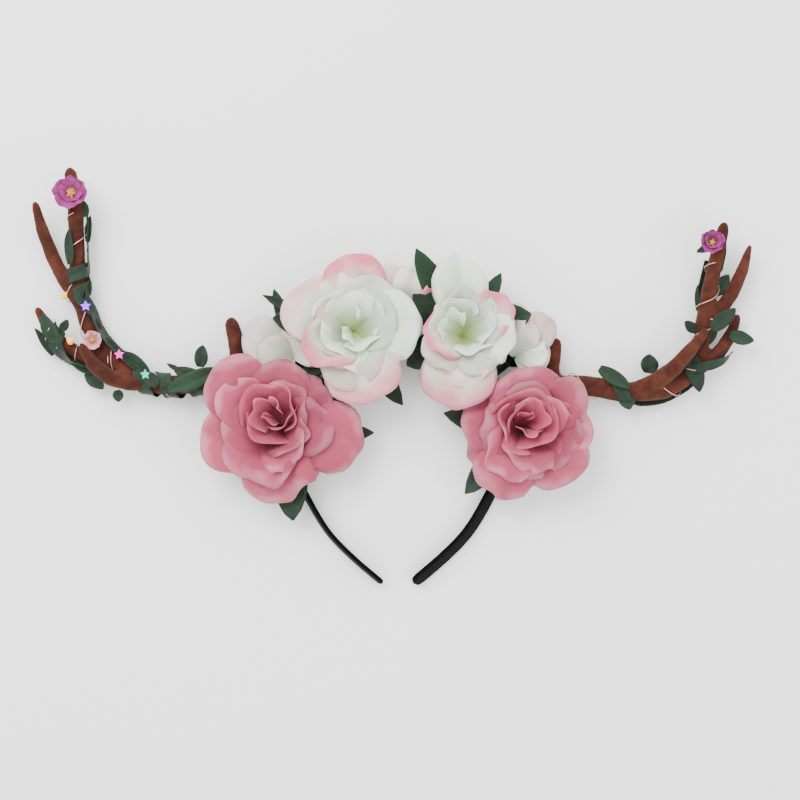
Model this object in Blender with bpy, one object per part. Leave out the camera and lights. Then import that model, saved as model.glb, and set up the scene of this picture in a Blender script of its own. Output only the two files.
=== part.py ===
"""Reindeer antler headband with silk roses, leaves, leafy garlands and small lamps.

It lies on its back: X runs across the head, Y runs from the free ends of the band to
the top of its arch, and Z points out of the front. The origin is on the back edge of
the band, at the top of the arch.
"""
import math
from collections import namedtuple

import bmesh
import bpy
from mathutils import Vector

# Gaps between touching pieces
CLEARANCE = 0.0003
ANTLER_CLEARANCE = 0.0006
WINDING_CLEARANCE = 0.0013

# Headband
BAND_SPAN = 0.122
BAND_HEIGHT = 0.141
BAND_WIDTH = 0.011
BAND_THICKNESS = 0.0028
BAND_EDGE_BEVEL = 0.0005
LEFT_LEG_TWIST = math.radians(12)
RIGHT_LEG_TWIST = math.radians(34)
# Shares of the half arch between which a leg turns
TWIST_START = 0.42
TWIST_END = 0.66
# Degrees of the rounding at a free end where a section is laid
END_ANGLES = (30, 55, 75)

# Antlers
LEFT_REACH = 0.1420
LEFT_RISE = 0.1392
RIGHT_REACH = 0.1408
RIGHT_RISE = 0.1062
BEAM_RADIUS = 0.0063
TINE_RADIUS = 0.0049
ANTLER_LIFT = 0.012
ANTLER_SEAT_SHARE = 0.335
ROOT_LENGTH = 0.007
# Degrees of the rounding at a branch's tip where a ring is laid
TIP_ANGLES = (45, 78)

# Roses
LARGE_ROSE_RADIUS = 0.045
SIDE_ROSE_RADIUS = 0.032
PETAL_THICKNESS = 0.0012
CORE_RADIUS = 0.0055
STEM_RADIUS = 0.0026
ROSE_SEAT = 0.0055
SIDE_ROSE_SEAT = 0.0030
ROSE_OFFSET = 0.014
BUD_RADIUS_SHARE = 0.17
# Height of the cup's foot and of its rim under and over the petals' root
CUP_FOOT = 0.002
CUP_RIM = 0.004

# Leaves
LEAF_LENGTH = 0.050
LEAF_WIDTH = 0.014
LEAF_THICKNESS = 0.0010
LEAF_SEAT = 0.0020
LEAF_LEVEL_STEP = 0.0020
# Height of a leaf's edges over its midrib, as a share of its half width
LEAF_FOLD = 0.08
# Shares of the swell's half turn that are left out at a leaf's root and at its tip
LEAF_ROOT = 0.12
LEAF_POINT = 0.02
# Power of the swell, under one for a fuller leaf
LEAF_FULLNESS = 0.8
LEAF_TIP_WIDTH = 0.05

# Garlands
RIBBON_WIDTH = 0.007
RIBBON_THICKNESS = 0.0010
GARLAND_LEAF_LENGTH = 0.016
GARLAND_LEAF_WIDTH = 0.009
GARLAND_LEAF_RISE = 0.10

# Lamps and tiny flowers
LAMP_RADIUS = 0.0024
TIP_FLOWER_RADIUS = 0.0095
RIGHT_FLOWER_RADIUS = 0.0078
SIDE_FLOWER_RADIUS = 0.0055
FLOWER_DEPTH = 0.005
FLOWER_LOBES = 5
LOBE_DEPTH = 0.09

# Half of the band's centreline, from the top of the arch to a free end,
# as shares of half the span and of the height
ArchPoint = namedtuple("ArchPoint", "across down")
ARCH = (
    ArchPoint(0.00, 0.000),
    ArchPoint(0.36, 0.029),
    ArchPoint(0.68, 0.116),
    ArchPoint(0.90, 0.250),
    ArchPoint(1.00, 0.430),
    ArchPoint(0.98, 0.540),
    ArchPoint(0.90, 0.630),
    ArchPoint(0.70, 0.775),
    ArchPoint(0.46, 0.885),
    ArchPoint(0.15, 1.000),
)

# Points of the antlers' beams and tines, measured from the seat on the band, as
# shares of reach, rise and lift, with the share of the branch's radius
AntlerPoint = namedtuple("AntlerPoint", "out up lift thick")
LEFT_BRANCHES = {
    "beam": (
        AntlerPoint(0.230, 0.060, 0.0, 1.00),
        AntlerPoint(0.406, 0.086, 0.2, 1.00),
        AntlerPoint(0.586, 0.069, 0.2, 0.96),
        AntlerPoint(0.711, 0.099, 0.2, 0.92),
        AntlerPoint(0.830, 0.190, 0.2, 0.88),
        AntlerPoint(0.925, 0.320, 0.25, 0.84),
        AntlerPoint(0.968, 0.520, 0.4, 0.82),
        AntlerPoint(0.975, 0.850, 0.8, 0.78),
        AntlerPoint(0.995, 0.985, 1.0, 0.66),
    ),
    "outer_tine": (
        AntlerPoint(0.958, 0.422, 0.3, 0.95),
        AntlerPoint(1.038, 0.543, 0.2, 1.00),
        AntlerPoint(1.109, 0.703, 0.4, 0.90),
        AntlerPoint(1.146, 0.850, 0.8, 0.62),
    ),
    "lower_tine": (
        AntlerPoint(0.829, 0.165, 0.25, 0.95),
        AntlerPoint(0.983, 0.207, 0.2, 0.95),
        AntlerPoint(1.088, 0.302, 0.3, 0.88),
        AntlerPoint(1.140, 0.395, 0.5, 0.62),
    ),
    "front_tine": (
        AntlerPoint(0.660, 0.080, 0.2, 1.00),
        AntlerPoint(0.795, 0.086, 0.7, 1.08),
        AntlerPoint(0.891, 0.155, 1.1, 1.00),
        AntlerPoint(0.941, 0.237, 1.4, 0.62),
    ),
    "base_tine": (
        AntlerPoint(0.281, 0.072, 0.0, 1.15),
        AntlerPoint(0.293, 0.228, 0.2, 1.15),
        AntlerPoint(0.318, 0.335, 0.5, 0.95),
    ),
}
RIGHT_BRANCHES = {
    "beam": (
        AntlerPoint(0.372, 0.096, 0.15, 1.00),
        AntlerPoint(0.557, 0.056, 0.26, 0.98),
        AntlerPoint(0.755, 0.068, 0.26, 0.94),
        AntlerPoint(0.845, 0.150, 0.26, 0.92),
        AntlerPoint(0.903, 0.300, 0.26, 0.86),
        AntlerPoint(0.925, 0.520, 0.4, 0.82),
        AntlerPoint(0.955, 0.740, 0.7, 0.76),
        AntlerPoint(0.995, 0.985, 1.0, 0.62),
    ),
    "outer_tine": (
        AntlerPoint(0.916, 0.390, 0.3, 0.90),
        AntlerPoint(1.017, 0.565, 0.2, 1.00),
        AntlerPoint(1.080, 0.734, 0.4, 0.85),
        AntlerPoint(1.112, 0.880, 0.7, 0.45),
    ),
    "back_tine": (
        AntlerPoint(0.840, 0.145, 0.25, 0.95),
        AntlerPoint(0.966, 0.254, 0.2, 0.98),
        AntlerPoint(1.030, 0.367, 0.2, 0.92),
        AntlerPoint(1.064, 0.480, 0.3, 0.62),
    ),
    "front_tine": (
        AntlerPoint(0.610, 0.060, 0.3, 1.05),
        AntlerPoint(0.713, 0.119, 0.8, 1.10),
        AntlerPoint(0.798, 0.209, 1.1, 1.05),
        AntlerPoint(0.861, 0.311, 1.3, 0.90),
        AntlerPoint(0.913, 0.395, 1.4, 0.55),
    ),
    "base_tine": (
        AntlerPoint(0.262, 0.088, 0.0, 1.15),
        AntlerPoint(0.266, 0.226, 0.2, 1.12),
        AntlerPoint(0.283, 0.325, 0.4, 0.90),
    ),
}

# Lobes of a rose: heading is the direction in degrees, reach and width are shares of
# the rose's radius, start and end are the rise in degrees at the petal's root and tip
Lobe = namedtuple("Lobe", "heading reach width start end")
# Roses: the side of the band, the share of the half arch where the stem sits, the share
# of ROSE_OFFSET by which they stand outside the band, the steps by which the petals
# are raised, the lean and the height of the bud as shares of the rose's radius
Rose = namedtuple("Rose", "side seat offset raised lean_x lean_y bud lobes")
LARGE_ROSES = {
    "rose_pink_left": Rose(-1, 0.447, 0.70, 0.0, -0.36, 0.26, 0.50, (
        Lobe(130, 1.12, 0.52, 32, 2),
        Lobe(192, 0.96, 0.46, 34, 6),
        Lobe(277, 1.02, 0.52, 30, 2),
        Lobe(356, 1.14, 0.50, 24, 4),
        Lobe(73, 0.92, 0.44, 30, 8),
    )),
    "rose_pink_right": Rose(1, 0.447, 1.00, 0.0, 0.32, 0.06, 0.50, (
        Lobe(88, 0.84, 0.46, 34, 8),
        Lobe(27, 0.92, 0.44, 34, 6),
        Lobe(315, 0.88, 0.46, 32, 2),
        Lobe(240, 0.97, 0.48, 30, 2),
        Lobe(163, 0.84, 0.46, 24, 4),
    )),
    "rose_white_left": Rose(-1, 0.113, 1.00, 0.5, -0.10, 0.14, 0.50, (
        Lobe(88, 1.00, 0.48, 38, 8),
        Lobe(155, 0.94, 0.48, 38, 8),
        Lobe(222, 0.78, 0.46, 50, 28),
        Lobe(284, 1.04, 0.50, 40, 10),
        Lobe(2, 0.94, 0.50, 40, 14),
    )),
    "rose_white_right": Rose(1, 0.157, 1.15, 0.5, 0.06, 0.20, 0.50, (
        Lobe(107, 1.06, 0.40, 44, 20),
        Lobe(32, 0.78, 0.42, 50, 30),
        Lobe(330, 0.71, 0.45, 46, 28),
        Lobe(264, 1.00, 0.48, 38, 6),
        Lobe(192, 0.62, 0.36, 52, 40),
    )),
}
SIDE_ROSES = {
    "rose_side_left": Rose(-1, 0.262, 1.55, 0.0, -0.10, 0.05, 0.34, (
        Lobe(147, 1.02, 0.50, 26, 8),
        Lobe(98, 0.82, 0.50, 26, 6),
        Lobe(200, 0.64, 0.50, 22, 2),
    )),
    "rose_side_right": Rose(1, 0.278, 2.00, 0.0, 0.10, 0.05, 0.34, (
        Lobe(40, 0.92, 0.54, 30, 10),
        Lobe(345, 0.84, 0.50, 28, 8),
        Lobe(95, 1.00, 0.42, 30, 14),
    )),
    "rose_top": Rose(1, 0.014, 1.60, 0.0, 0.00, 0.10, 0.34, (
        Lobe(68, 0.98, 0.46, 32, 14),
        Lobe(116, 0.92, 0.42, 32, 14),
        Lobe(162, 0.44, 0.34, 24, 8),
    )),
}
# Outline of a petal: widths at its root and tip as shares of the full width, the
# length of the swell and the rounding of the tip as shares of its length, and the
# share of its width by which one edge lies over the next petal
ROOT_WIDTH = 0.16
TIP_WIDTH = 0.60
SWELL_LENGTH = 1.25
TIP_ROUNDING = 0.20
PETAL_BANK = 0.22
# Petals nested in each lobe, as shares of the lobe's reach and width, with the degrees
# they turn aside, the degrees they stand up more, the share by which their edges lift
# and the mesh cells along and across
Nest = namedtuple("Nest", "reach width turn steeper cup rows columns")
NESTS = (
    Nest(1.00, 1.00, 0, 0, 0.25, 2, 4),
    Nest(0.68, 0.74, 6, 26, 0.40, 2, 2),
)
# Bud over the petals' root: share of its height and of its radius
BudLevel = namedtuple("BudLevel", "up wide")
BUD = (
    BudLevel(0.55, 1.00),
    BudLevel(0.85, 0.85),
    BudLevel(1.00, 0.40),
)
CORE_ROOT_WIDTH = 0.75
# Leaves round the roses. Heading is in degrees, reach and width are shares of the
# leaf sizes, level counts steps upwards and rise is the share of reach gained in height
Leaf = namedtuple("Leaf", "host heading reach width level rise")
LEAVES = (
    Leaf("rose_white_left", 161, 1.16, 0.50, 2, 0.04),
    Leaf("rose_side_left", 103, 0.86, 0.50, 0, 0.05),
    Leaf("rose_white_left", 184, 0.70, 1.10, 1, 0.00),
    Leaf("rose_white_left", 222, 0.66, 0.95, 0, 0.00),
    Leaf("rose_white_left", 258, 0.92, 1.00, 1, 0.08),
    Leaf("rose_white_left", 306, 1.06, 0.80, 0, 0.06),
    Leaf("rose_white_right", 139, 0.58, 0.95, 0, 0.02),
    Leaf("rose_white_right", 217, 0.60, 0.95, 0, 0.04),
    Leaf("rose_top", 176, 0.40, 0.60, 0, 0.00),
    Leaf("rose_white_right", 113, 1.14, 1.10, 1, 0.06),
    Leaf("rose_white_right", 59, 0.90, 0.65, 0, 0.05),
    Leaf("rose_white_right", 15, 0.78, 1.40, 1, 0.00),
    Leaf("rose_pink_right", 126, 0.92, 0.80, 1, 0.00),
    Leaf("rose_pink_left", 278, 1.03, 1.30, 0, 0.06),
    Leaf("rose_pink_left", 358, 1.13, 0.80, 0, 0.06),
    Leaf("rose_pink_right", 169, 0.98, 0.80, 0, 0.05),
    Leaf("rose_pink_right", 223, 1.01, 0.90, 1, 0.04),
)
LOW_PETAL = Leaf("rose_pink_right", 268, 0.72, 1.45, 0, 0.04)

# Course of a garland's ribbon over a beam: the share of the beam's length and the
# turns made round it
Winding = namedtuple("Winding", "share turns")
LEFT_WINDINGS = (
    Winding(0.235, 0.10),
    Winding(0.370, 2.25),
    Winding(0.750, 2.25),
    Winding(0.915, 3.90),
)
RIGHT_WINDINGS = (
    Winding(0.310, 0.20),
    Winding(0.395, 1.35),
    Winding(0.520, 1.42),
    Winding(0.790, 1.50),
    Winding(0.920, 2.90),
)
# Leaves on a ribbon: share of the ribbon's length, heading in degrees and size share
GarlandLeaf = namedtuple("GarlandLeaf", "share heading size")
LEFT_GARLAND_LEAVES = (
    GarlandLeaf(0.03, 100, 1.0),
    GarlandLeaf(0.18, 270, 0.9),
    GarlandLeaf(0.36, 75, 0.9),
    GarlandLeaf(0.52, 20, 0.8),
    GarlandLeaf(0.66, 30, 0.9),
    GarlandLeaf(0.82, 10, 0.8),
    GarlandLeaf(0.97, 110, 0.8),
)
RIGHT_GARLAND_LEAVES = (
    GarlandLeaf(0.04, 265, 1.0),
    GarlandLeaf(0.24, 250, 1.1),
    GarlandLeaf(0.44, 100, 1.0),
    GarlandLeaf(0.62, 170, 0.9),
    GarlandLeaf(0.80, 200, 0.9),
    GarlandLeaf(0.96, 110, 0.8),
)

# Lamps on the left antler: branch, share of its length, direction round it and the
# clearances between its round surface and the lamp
Lamp = namedtuple("Lamp", "branch share around gap")
LAMPS = (
    Lamp("outer_tine", 0.13, 310, 1.0),
    Lamp("lower_tine", 0.50, 40, 1.0),
    Lamp("beam", 0.665, 25, 0.5),
    Lamp("beam", 0.505, 40, 0.5),
    Lamp("beam", 0.415, 30, 0.5),
    Lamp("base_tine", 0.38, 20, 0.5),
)

# Outline of a tiny flower: share of its depth and of its radius
FlowerLevel = namedtuple("FlowerLevel", "up wide")
FLOWER_OUTLINE = (
    FlowerLevel(0.00, 0.22),
    FlowerLevel(0.36, 0.30),
    FlowerLevel(0.76, 1.00),
    FlowerLevel(1.00, 0.97),
    FlowerLevel(0.86, 0.70),
    FlowerLevel(0.60, 0.25),
)
# Tiny flowers: garland side, share of the beam, direction round it, radius and finish
TinyFlower = namedtuple("TinyFlower", "branch share around radius finish")
TINY_FLOWERS = {
    "flower_tip_left": TinyFlower("left", 0.955, 0, TIP_FLOWER_RADIUS, "violet_silk"),
    "flower_tip_right": TinyFlower("right", 0.955, 315, RIGHT_FLOWER_RADIUS, "violet_silk"),
    "flower_side": TinyFlower("left", 0.580, 0, SIDE_FLOWER_RADIUS, "blush_silk"),
}

# Mesh fineness
CURVE_SAMPLES = 24
ARCH_STEPS = 16
BEAM_STEPS = 16
TINE_STEPS = 4
RIBBON_STEPS_PER_TURN = 8
RIBBON_STEP_LENGTH = 0.009
BEAM_SIDES = 10
TINE_SIDES = 8
CORE_SIDES = 8
STEM_SIDES = 6
SHARP_ANGLE = math.radians(40)
WELD = 1e-6

# Ribbon stations on either side of a garland leaf's place where its root may go
LEAF_SEARCH = 4

# Colours, roughness
FINISHES = {
    "black_cloth": ((0.012, 0.012, 0.015), 0.75),
    "brown_felt": ((0.20, 0.055, 0.030), 0.95),
    "pink_silk": ((0.60, 0.16, 0.24), 0.70),
    "white_silk": ((0.78, 0.82, 0.72), 0.70),
    "green_satin": ((0.030, 0.090, 0.055), 0.50),
    "green_ribbon": ((0.020, 0.055, 0.030), 0.60),
    "lamp_shell": ((0.85, 0.72, 0.35), 0.30),
    "violet_silk": ((0.42, 0.06, 0.26), 0.70),
    "blush_silk": ((0.75, 0.42, 0.45), 0.70),
}

UP = Vector((0, 0, 1))


class Course:
    """A smooth curve through a few points, read by its share of length."""

    def __init__(self, points, values=None):
        values = values or [0.0] * len(points)
        self.points = []
        self.values = []
        last = len(points) - 1
        for index in range(last):
            around = [points[min(max(index + step, 0), last)] for step in (-1, 0, 1, 2)]
            for sample in range(CURVE_SAMPLES):
                part = sample / CURVE_SAMPLES
                self.points.append(blend(around, part))
                self.values.append(values[index] * (1 - part) + values[index + 1] * part)
        self.points.append(points[-1].copy())
        self.values.append(values[-1])
        self.lengths = [0.0]
        for before, after in zip(self.points, self.points[1:]):
            self.lengths.append(self.lengths[-1] + (after - before).length)

    def at(self, share):
        """Return the point, the direction and the value at a share of the length."""
        wanted = min(max(share, 0.0), 1.0) * self.lengths[-1]
        index = 1
        while index < len(self.lengths) - 1 and self.lengths[index] < wanted:
            index += 1
        before = self.points[index - 1]
        after = self.points[index]
        step = self.lengths[index] - self.lengths[index - 1]
        part = (wanted - self.lengths[index - 1]) / step
        value = self.values[index - 1] * (1 - part) + self.values[index] * part
        return before.lerp(after, part), (after - before).normalized(), value


def blend(around, part):
    """Catmull-Rom point between the two middle ones of four points."""
    before, start, end, after = around
    return 0.5 * (
        2 * start
        + (end - before) * part
        + (2 * before - 5 * start + 4 * end - after) * part ** 2
        + (3 * start - before - 3 * end + after) * part ** 3
    )


def clear_scene():
    """Remove every object of the scene."""
    for item in list(bpy.data.objects):
        bpy.data.objects.remove(item, do_unlink=True)


def finish_material(name):
    """Return the named finish as a material, made once."""
    material = bpy.data.materials.get(name)
    if material is None:
        colour, roughness = FINISHES[name]
        material = bpy.data.materials.new(name)
        material.use_nodes = True
        shader = material.node_tree.nodes["Principled BSDF"]
        shader.inputs["Base Color"].default_value = (*colour, 1)
        shader.inputs["Roughness"].default_value = roughness
        shader.inputs["Metallic"].default_value = 0.0
        material.diffuse_color = (*colour, 1)
    return material


def add_object(name, mesh, finish):
    """Link a mesh to the scene under its name, smoothly shaded."""
    item = bpy.data.objects.new(name, mesh)
    bpy.context.scene.collection.objects.link(item)
    mesh.materials.clear()
    mesh.materials.append(finish_material(finish))
    mesh.shade_smooth()
    mesh.set_sharp_from_angle(angle=SHARP_ANGLE)
    return item


def add_piece(name, mesh, finish):
    """Link the mesh of a finished piece, cut into flat triangles."""
    bm = bmesh.new()
    bm.from_mesh(mesh)
    bmesh.ops.triangulate(bm, faces=bm.faces[:])
    bm.to_mesh(mesh)
    bm.free()
    add_object(name, mesh, finish)


def mesh_from(bm, name):
    """Write a bmesh into a new mesh, its faces turned outwards."""
    bmesh.ops.recalc_face_normals(bm, faces=bm.faces[:])
    if bm.calc_volume(signed=True) < 0:
        bmesh.ops.reverse_faces(bm, faces=bm.faces[:])
    mesh = bpy.data.meshes.new(name)
    bm.to_mesh(mesh)
    bm.free()
    return mesh


def shells(bm):
    """Return the faces of each connected shell of a bmesh."""
    waiting = set(bm.faces)
    found = []
    while waiting:
        reached = [waiting.pop()]
        for face in reached:
            for edge in face.edges:
                for neighbour in edge.link_faces:
                    if neighbour in waiting:
                        waiting.remove(neighbour)
                        reached.append(neighbour)
        found.append(reached)
    return found


def shell_volume(faces):
    """Signed volume inside one shell, negative for a sealed pocket."""
    volume = 0.0
    for face in faces:
        first = face.verts[0].co
        for left, right in zip(face.verts[1:], face.verts[2:]):
            volume += first.dot(left.co.cross(right.co)) / 6
    return volume


def fuse(name, meshes, finish):
    """Join overlapping closed meshes into one body, and fill the pockets sealed in it."""
    main = add_object(name, meshes[0], finish)
    others = bpy.data.collections.new(name + "_parts")
    bpy.context.scene.collection.children.link(others)
    for number, mesh in enumerate(meshes[1:]):
        part = bpy.data.objects.new(f"{name}_part_{number}", mesh)
        others.objects.link(part)
    union = main.modifiers.new("Join", "BOOLEAN")
    union.operation = "UNION"
    union.operand_type = "COLLECTION"
    union.collection = others
    union.solver = "EXACT"
    joined = main.evaluated_get(bpy.context.evaluated_depsgraph_get()).to_mesh()
    bm = bmesh.new()
    bm.from_mesh(joined)
    for faces in shells(bm):
        if shell_volume(faces) < 0:
            bmesh.ops.delete(bm, geom=faces, context="FACES")
    bmesh.ops.dissolve_degenerate(bm, edges=bm.edges[:], dist=WELD)
    bmesh.ops.remove_doubles(bm, verts=bm.verts[:], dist=WELD)
    bmesh.ops.triangulate(bm, faces=bm.faces[:])
    result = mesh_from(bm, name)
    main.modifiers.clear()
    main.data = result
    result.materials.append(finish_material(finish))
    result.shade_smooth()
    result.set_sharp_from_angle(angle=SHARP_ANGLE)
    for part in list(others.objects):
        bpy.data.objects.remove(part, do_unlink=True)
    bpy.data.collections.remove(others)
    return main


def tube(name, points, radii, sides):
    """Round tube through the points, with flat ends, as a mesh."""
    curve = bpy.data.curves.new(name, "CURVE")
    curve.dimensions = "3D"
    curve.bevel_depth = 1.0
    curve.bevel_resolution = (sides - 4) // 2
    curve.use_fill_caps = True
    spline = curve.splines.new("POLY")
    spline.points.add(len(points) - 1)
    for place, point, radius in zip(spline.points, points, radii):
        place.co = (*point, 1)
        place.radius = radius
    holder = bpy.data.objects.new(name, curve)
    mesh = bpy.data.meshes.new_from_object(holder)
    bpy.data.objects.remove(holder, do_unlink=True)
    bpy.data.curves.remove(curve)
    bm = bmesh.new()
    bm.from_mesh(mesh)
    bmesh.ops.remove_doubles(bm, verts=bm.verts[:], dist=WELD)
    bpy.data.meshes.remove(mesh)
    return mesh_from(bm, name)


def strip(name, sections):
    """Closed bar with one flat ring of corners at each section."""
    bm = bmesh.new()
    rings = [[bm.verts.new(corner) for corner in corners] for corners in sections]
    count = len(rings[0])
    for ring, following in zip(rings, rings[1:]):
        for side in range(count):
            after = (side + 1) % count
            bm.faces.new((ring[side], ring[after], following[after], following[side]))
    bm.faces.new(rings[0])
    bm.faces.new(rings[-1])
    return mesh_from(bm, name)


def sheet(name, place, rows, columns, thickness):
    """Thin closed sheet whose middle grid follows place(along, across)."""
    bm = bmesh.new()
    bmesh.ops.create_grid(bm, x_segments=columns, y_segments=rows, size=1.0)
    for vert in bm.verts:
        vert.co = place((vert.co.y + 1) / 2, vert.co.x)
    bmesh.ops.solidify(bm, geom=bm.faces[:], thickness=thickness)
    return mesh_from(bm, name)


# Band

def arch_course():
    """Centreline of half the arch on the +X side."""
    points = [Vector((row.across * BAND_SPAN / 2, -row.down * BAND_HEIGHT, 0)) for row in ARCH]
    return Course(points)


def band_frame(side, share):
    """Point, outward direction and twist of the band at a share of its half arch."""
    point, direction, _ = arch_course_half.at(share)
    outward = Vector((-direction.y, direction.x, 0))
    mirrored = Vector((side * outward.x, outward.y, 0))
    leg_twist = RIGHT_LEG_TWIST if side > 0 else LEFT_LEG_TWIST
    ease = min(max((share - TWIST_START) / (TWIST_END - TWIST_START), 0.0), 1.0)
    twist = leg_twist * ease * ease * (3 - 2 * ease)
    return Vector((side * point.x, point.y, 0)), mirrored, twist


def band_seat(side, share):
    """Place on the band's outer face, at half its width, for a piece that seats there."""
    point, outward, _ = band_frame(side, share)
    seat = point + outward * (BAND_THICKNESS / 2 + CLEARANCE)
    seat.z = BAND_WIDTH / 2
    return seat, outward


def band_section(side, share, width_share):
    """Corners of the band's section: a flat bar with bevelled edges, on the floor."""
    point, outward, twist = band_frame(side, share)
    half_width = BAND_WIDTH * width_share / 2
    half_thickness = BAND_THICKNESS / 2
    bevel = BAND_EDGE_BEVEL
    level = BAND_WIDTH / 2 * math.cos(twist) + half_thickness * math.sin(twist)
    across = outward * math.cos(twist) + UP * math.sin(twist)
    along = UP * math.cos(twist) - outward * math.sin(twist)
    centre = point + UP * level
    corners = []
    for wide, thick in (
        (-half_width, bevel - half_thickness), (-half_width, half_thickness - bevel),
        (bevel - half_width, half_thickness), (half_width - bevel, half_thickness),
        (half_width, half_thickness - bevel), (half_width, bevel - half_thickness),
        (half_width - bevel, -half_thickness), (bevel - half_width, -half_thickness),
    ):
        corners.append(centre + along * wide + across * thick)
    return corners


def build_band():
    """Black cloth-covered band with rounded free ends."""
    radius_share = BAND_WIDTH / 2 / arch_course_half.lengths[-1]
    turns = [math.radians(angle) for angle in END_ANGLES]
    end = [(1 - radius_share * (1 - math.sin(turn)), math.cos(turn)) for turn in turns]
    straight = [(step / ARCH_STEPS * (1 - radius_share), 1.0) for step in range(ARCH_STEPS + 1)]
    half = straight + end
    sections = [band_section(-1, share, wide) for share, wide in reversed(half)]
    sections += [band_section(1, share, wide) for share, wide in half[1:]]
    add_piece("headband", strip("headband", sections), "black_cloth")


# Antlers

def branch_course(side, seat, rows, radius):
    """Curve and radii of one branch, from its table."""
    reach = RIGHT_REACH if side > 0 else LEFT_REACH
    rise = RIGHT_RISE if side > 0 else LEFT_RISE
    points = []
    values = []
    for row in rows:
        thick = radius * row.thick
        level = max(thick, BEAM_RADIUS * row.thick) + CLEARANCE + ANTLER_LIFT * row.lift
        points.append(Vector((seat.x + side * reach * row.out, seat.y + rise * row.up, level)))
        values.append(thick)
    return points, values


def antler_courses(side, branches):
    """Courses of all the branches of one antler."""
    seat, outward = band_seat(side, ANTLER_SEAT_SHARE)
    seat += outward * (ANTLER_CLEARANCE - CLEARANCE)
    seat.z = BEAM_RADIUS + CLEARANCE
    courses = {}
    for name, rows in branches.items():
        radius = BEAM_RADIUS if name == "beam" else TINE_RADIUS
        points, values = branch_course(side, seat, rows, radius)
        if name == "beam":
            root = [seat, seat + outward * ROOT_LENGTH / 2, seat + outward * ROOT_LENGTH]
            points = root + points
            values = [BEAM_RADIUS] * len(root) + values
        courses[name] = Course(points, values)
    return courses


def branch_mesh(name, course, sides, steps):
    """Tube along a branch with a rounded tip."""
    points = []
    radii = []
    for step in range(steps + 1):
        point, _, radius = course.at(step / steps)
        points.append(point)
        radii.append(radius)
    end, direction, radius = course.at(1.0)
    for angle in TIP_ANGLES:
        turn = math.radians(angle)
        points.append(end + direction * radius * math.sin(turn))
        radii.append(radius * math.cos(turn))
    return tube(name, points, radii, sides)


def build_antler(name, courses):
    """Beam and tines of one antler, one body."""
    meshes = []
    for branch, course in courses.items():
        sides = BEAM_SIDES if branch == "beam" else TINE_SIDES
        steps = BEAM_STEPS if branch == "beam" else TINE_STEPS
        meshes.append(branch_mesh(f"{name}_{branch}", course, sides, steps))
    fuse(name, meshes, "brown_felt")


# Roses

def outline_width(along):
    """Share of a petal's half width at a share of its length."""
    swell = math.sin(math.pi * min(along / SWELL_LENGTH, 1.0))
    return max(ROOT_WIDTH * (1 - along), TIP_WIDTH * along, swell)


def petal_place(root, lobe, nest, radius, lean):
    """Function that places a point of a petal by its shares along and across."""
    heading = math.radians(lobe.heading + nest.turn)
    outward = Vector((math.cos(heading), math.sin(heading), 0))
    sideways = Vector((-outward.y, outward.x, 0))
    start = math.radians(lobe.start + nest.steeper)
    end = math.radians(lobe.end + nest.steeper)
    length = lobe.reach * nest.reach * radius
    width = lobe.width * nest.width * radius

    def place(along, across):
        slope = start + (end - start) * along / 2
        reached = length * along * (1 - TIP_ROUNDING * across * across * along)
        half = width * outline_width(along)
        normal = UP * math.cos(slope) - outward * math.sin(slope)
        point = root + outward * reached * math.cos(slope) + UP * reached * math.sin(slope)
        lifted = nest.cup * across * across + PETAL_BANK * across
        point += sideways * half * across + normal * half * lifted
        point += lean * (point.z - root.z)
        return point

    return place


def rose_frame(rose, small):
    """Seat on the band, its outward direction and the root of the petals."""
    seat, outward = band_seat(rose.side, rose.seat)
    root = seat + outward * ROSE_OFFSET * rose.offset
    level = SIDE_ROSE_SEAT if small else ROSE_SEAT
    root.z = BAND_WIDTH + level + rose.raised * LEAF_LEVEL_STEP
    return seat, outward, root


def stem_mesh(name, seat, outward, root, bottom):
    """Stem from the band's outer face to the underside of the rose."""
    knee = seat + outward * STEM_RADIUS
    foot = Vector((root.x, root.y, bottom + STEM_RADIUS))
    return tube(name, (seat, knee, foot), (STEM_RADIUS,) * 3, STEM_SIDES)


def core_mesh(name, root, bottom, top, lean, radius):
    """Cup under the petals and bud above it, turned round the rose's axis."""
    levels = [
        (bottom, CORE_ROOT_WIDTH * CORE_RADIUS),
        (bottom + CUP_FOOT, CORE_RADIUS),
        (root.z + CUP_RIM, CORE_RADIUS),
    ]
    for row in BUD:
        levels.append((root.z + (top - root.z) * row.up, row.wide * radius))
    sections = []
    for level, wide in levels:
        centre = Vector((root.x, root.y, level)) + lean * max(level - root.z, 0.0)
        ring = []
        for side in range(CORE_SIDES):
            turn = math.tau * side / CORE_SIDES
            ring.append(centre + wide * Vector((math.cos(turn), math.sin(turn), 0)))
        sections.append(ring)
    return strip(name, sections)


def build_rose(name, rose, small):
    """Rose with its stem, core, bud and petals, one body."""
    radius = SIDE_ROSE_RADIUS if small else LARGE_ROSE_RADIUS
    seat, outward, root = rose_frame(rose, small)
    lean = Vector((rose.lean_x, rose.lean_y, 0))
    bottom = BAND_WIDTH - 2 * STEM_RADIUS if small else BAND_WIDTH - STEM_RADIUS
    top = root.z + rose.bud * radius
    meshes = [core_mesh(name + "_core", root, bottom, top, lean, radius * BUD_RADIUS_SHARE)]
    meshes.append(stem_mesh(name + "_stem", seat, outward, root, bottom))
    petals = [(lobe, nest) for nest in NESTS for lobe in rose.lobes]
    for number, (lobe, nest) in enumerate(petals):
        place = petal_place(root + UP * PETAL_THICKNESS, lobe, nest, radius, lean)
        part = f"{name}_petal_{number}"
        meshes.append(sheet(part, place, nest.rows, nest.columns, PETAL_THICKNESS))
    finish = "pink_silk" if "pink" in name else "white_silk"
    fuse(name, meshes, finish)


# Leaves

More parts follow.
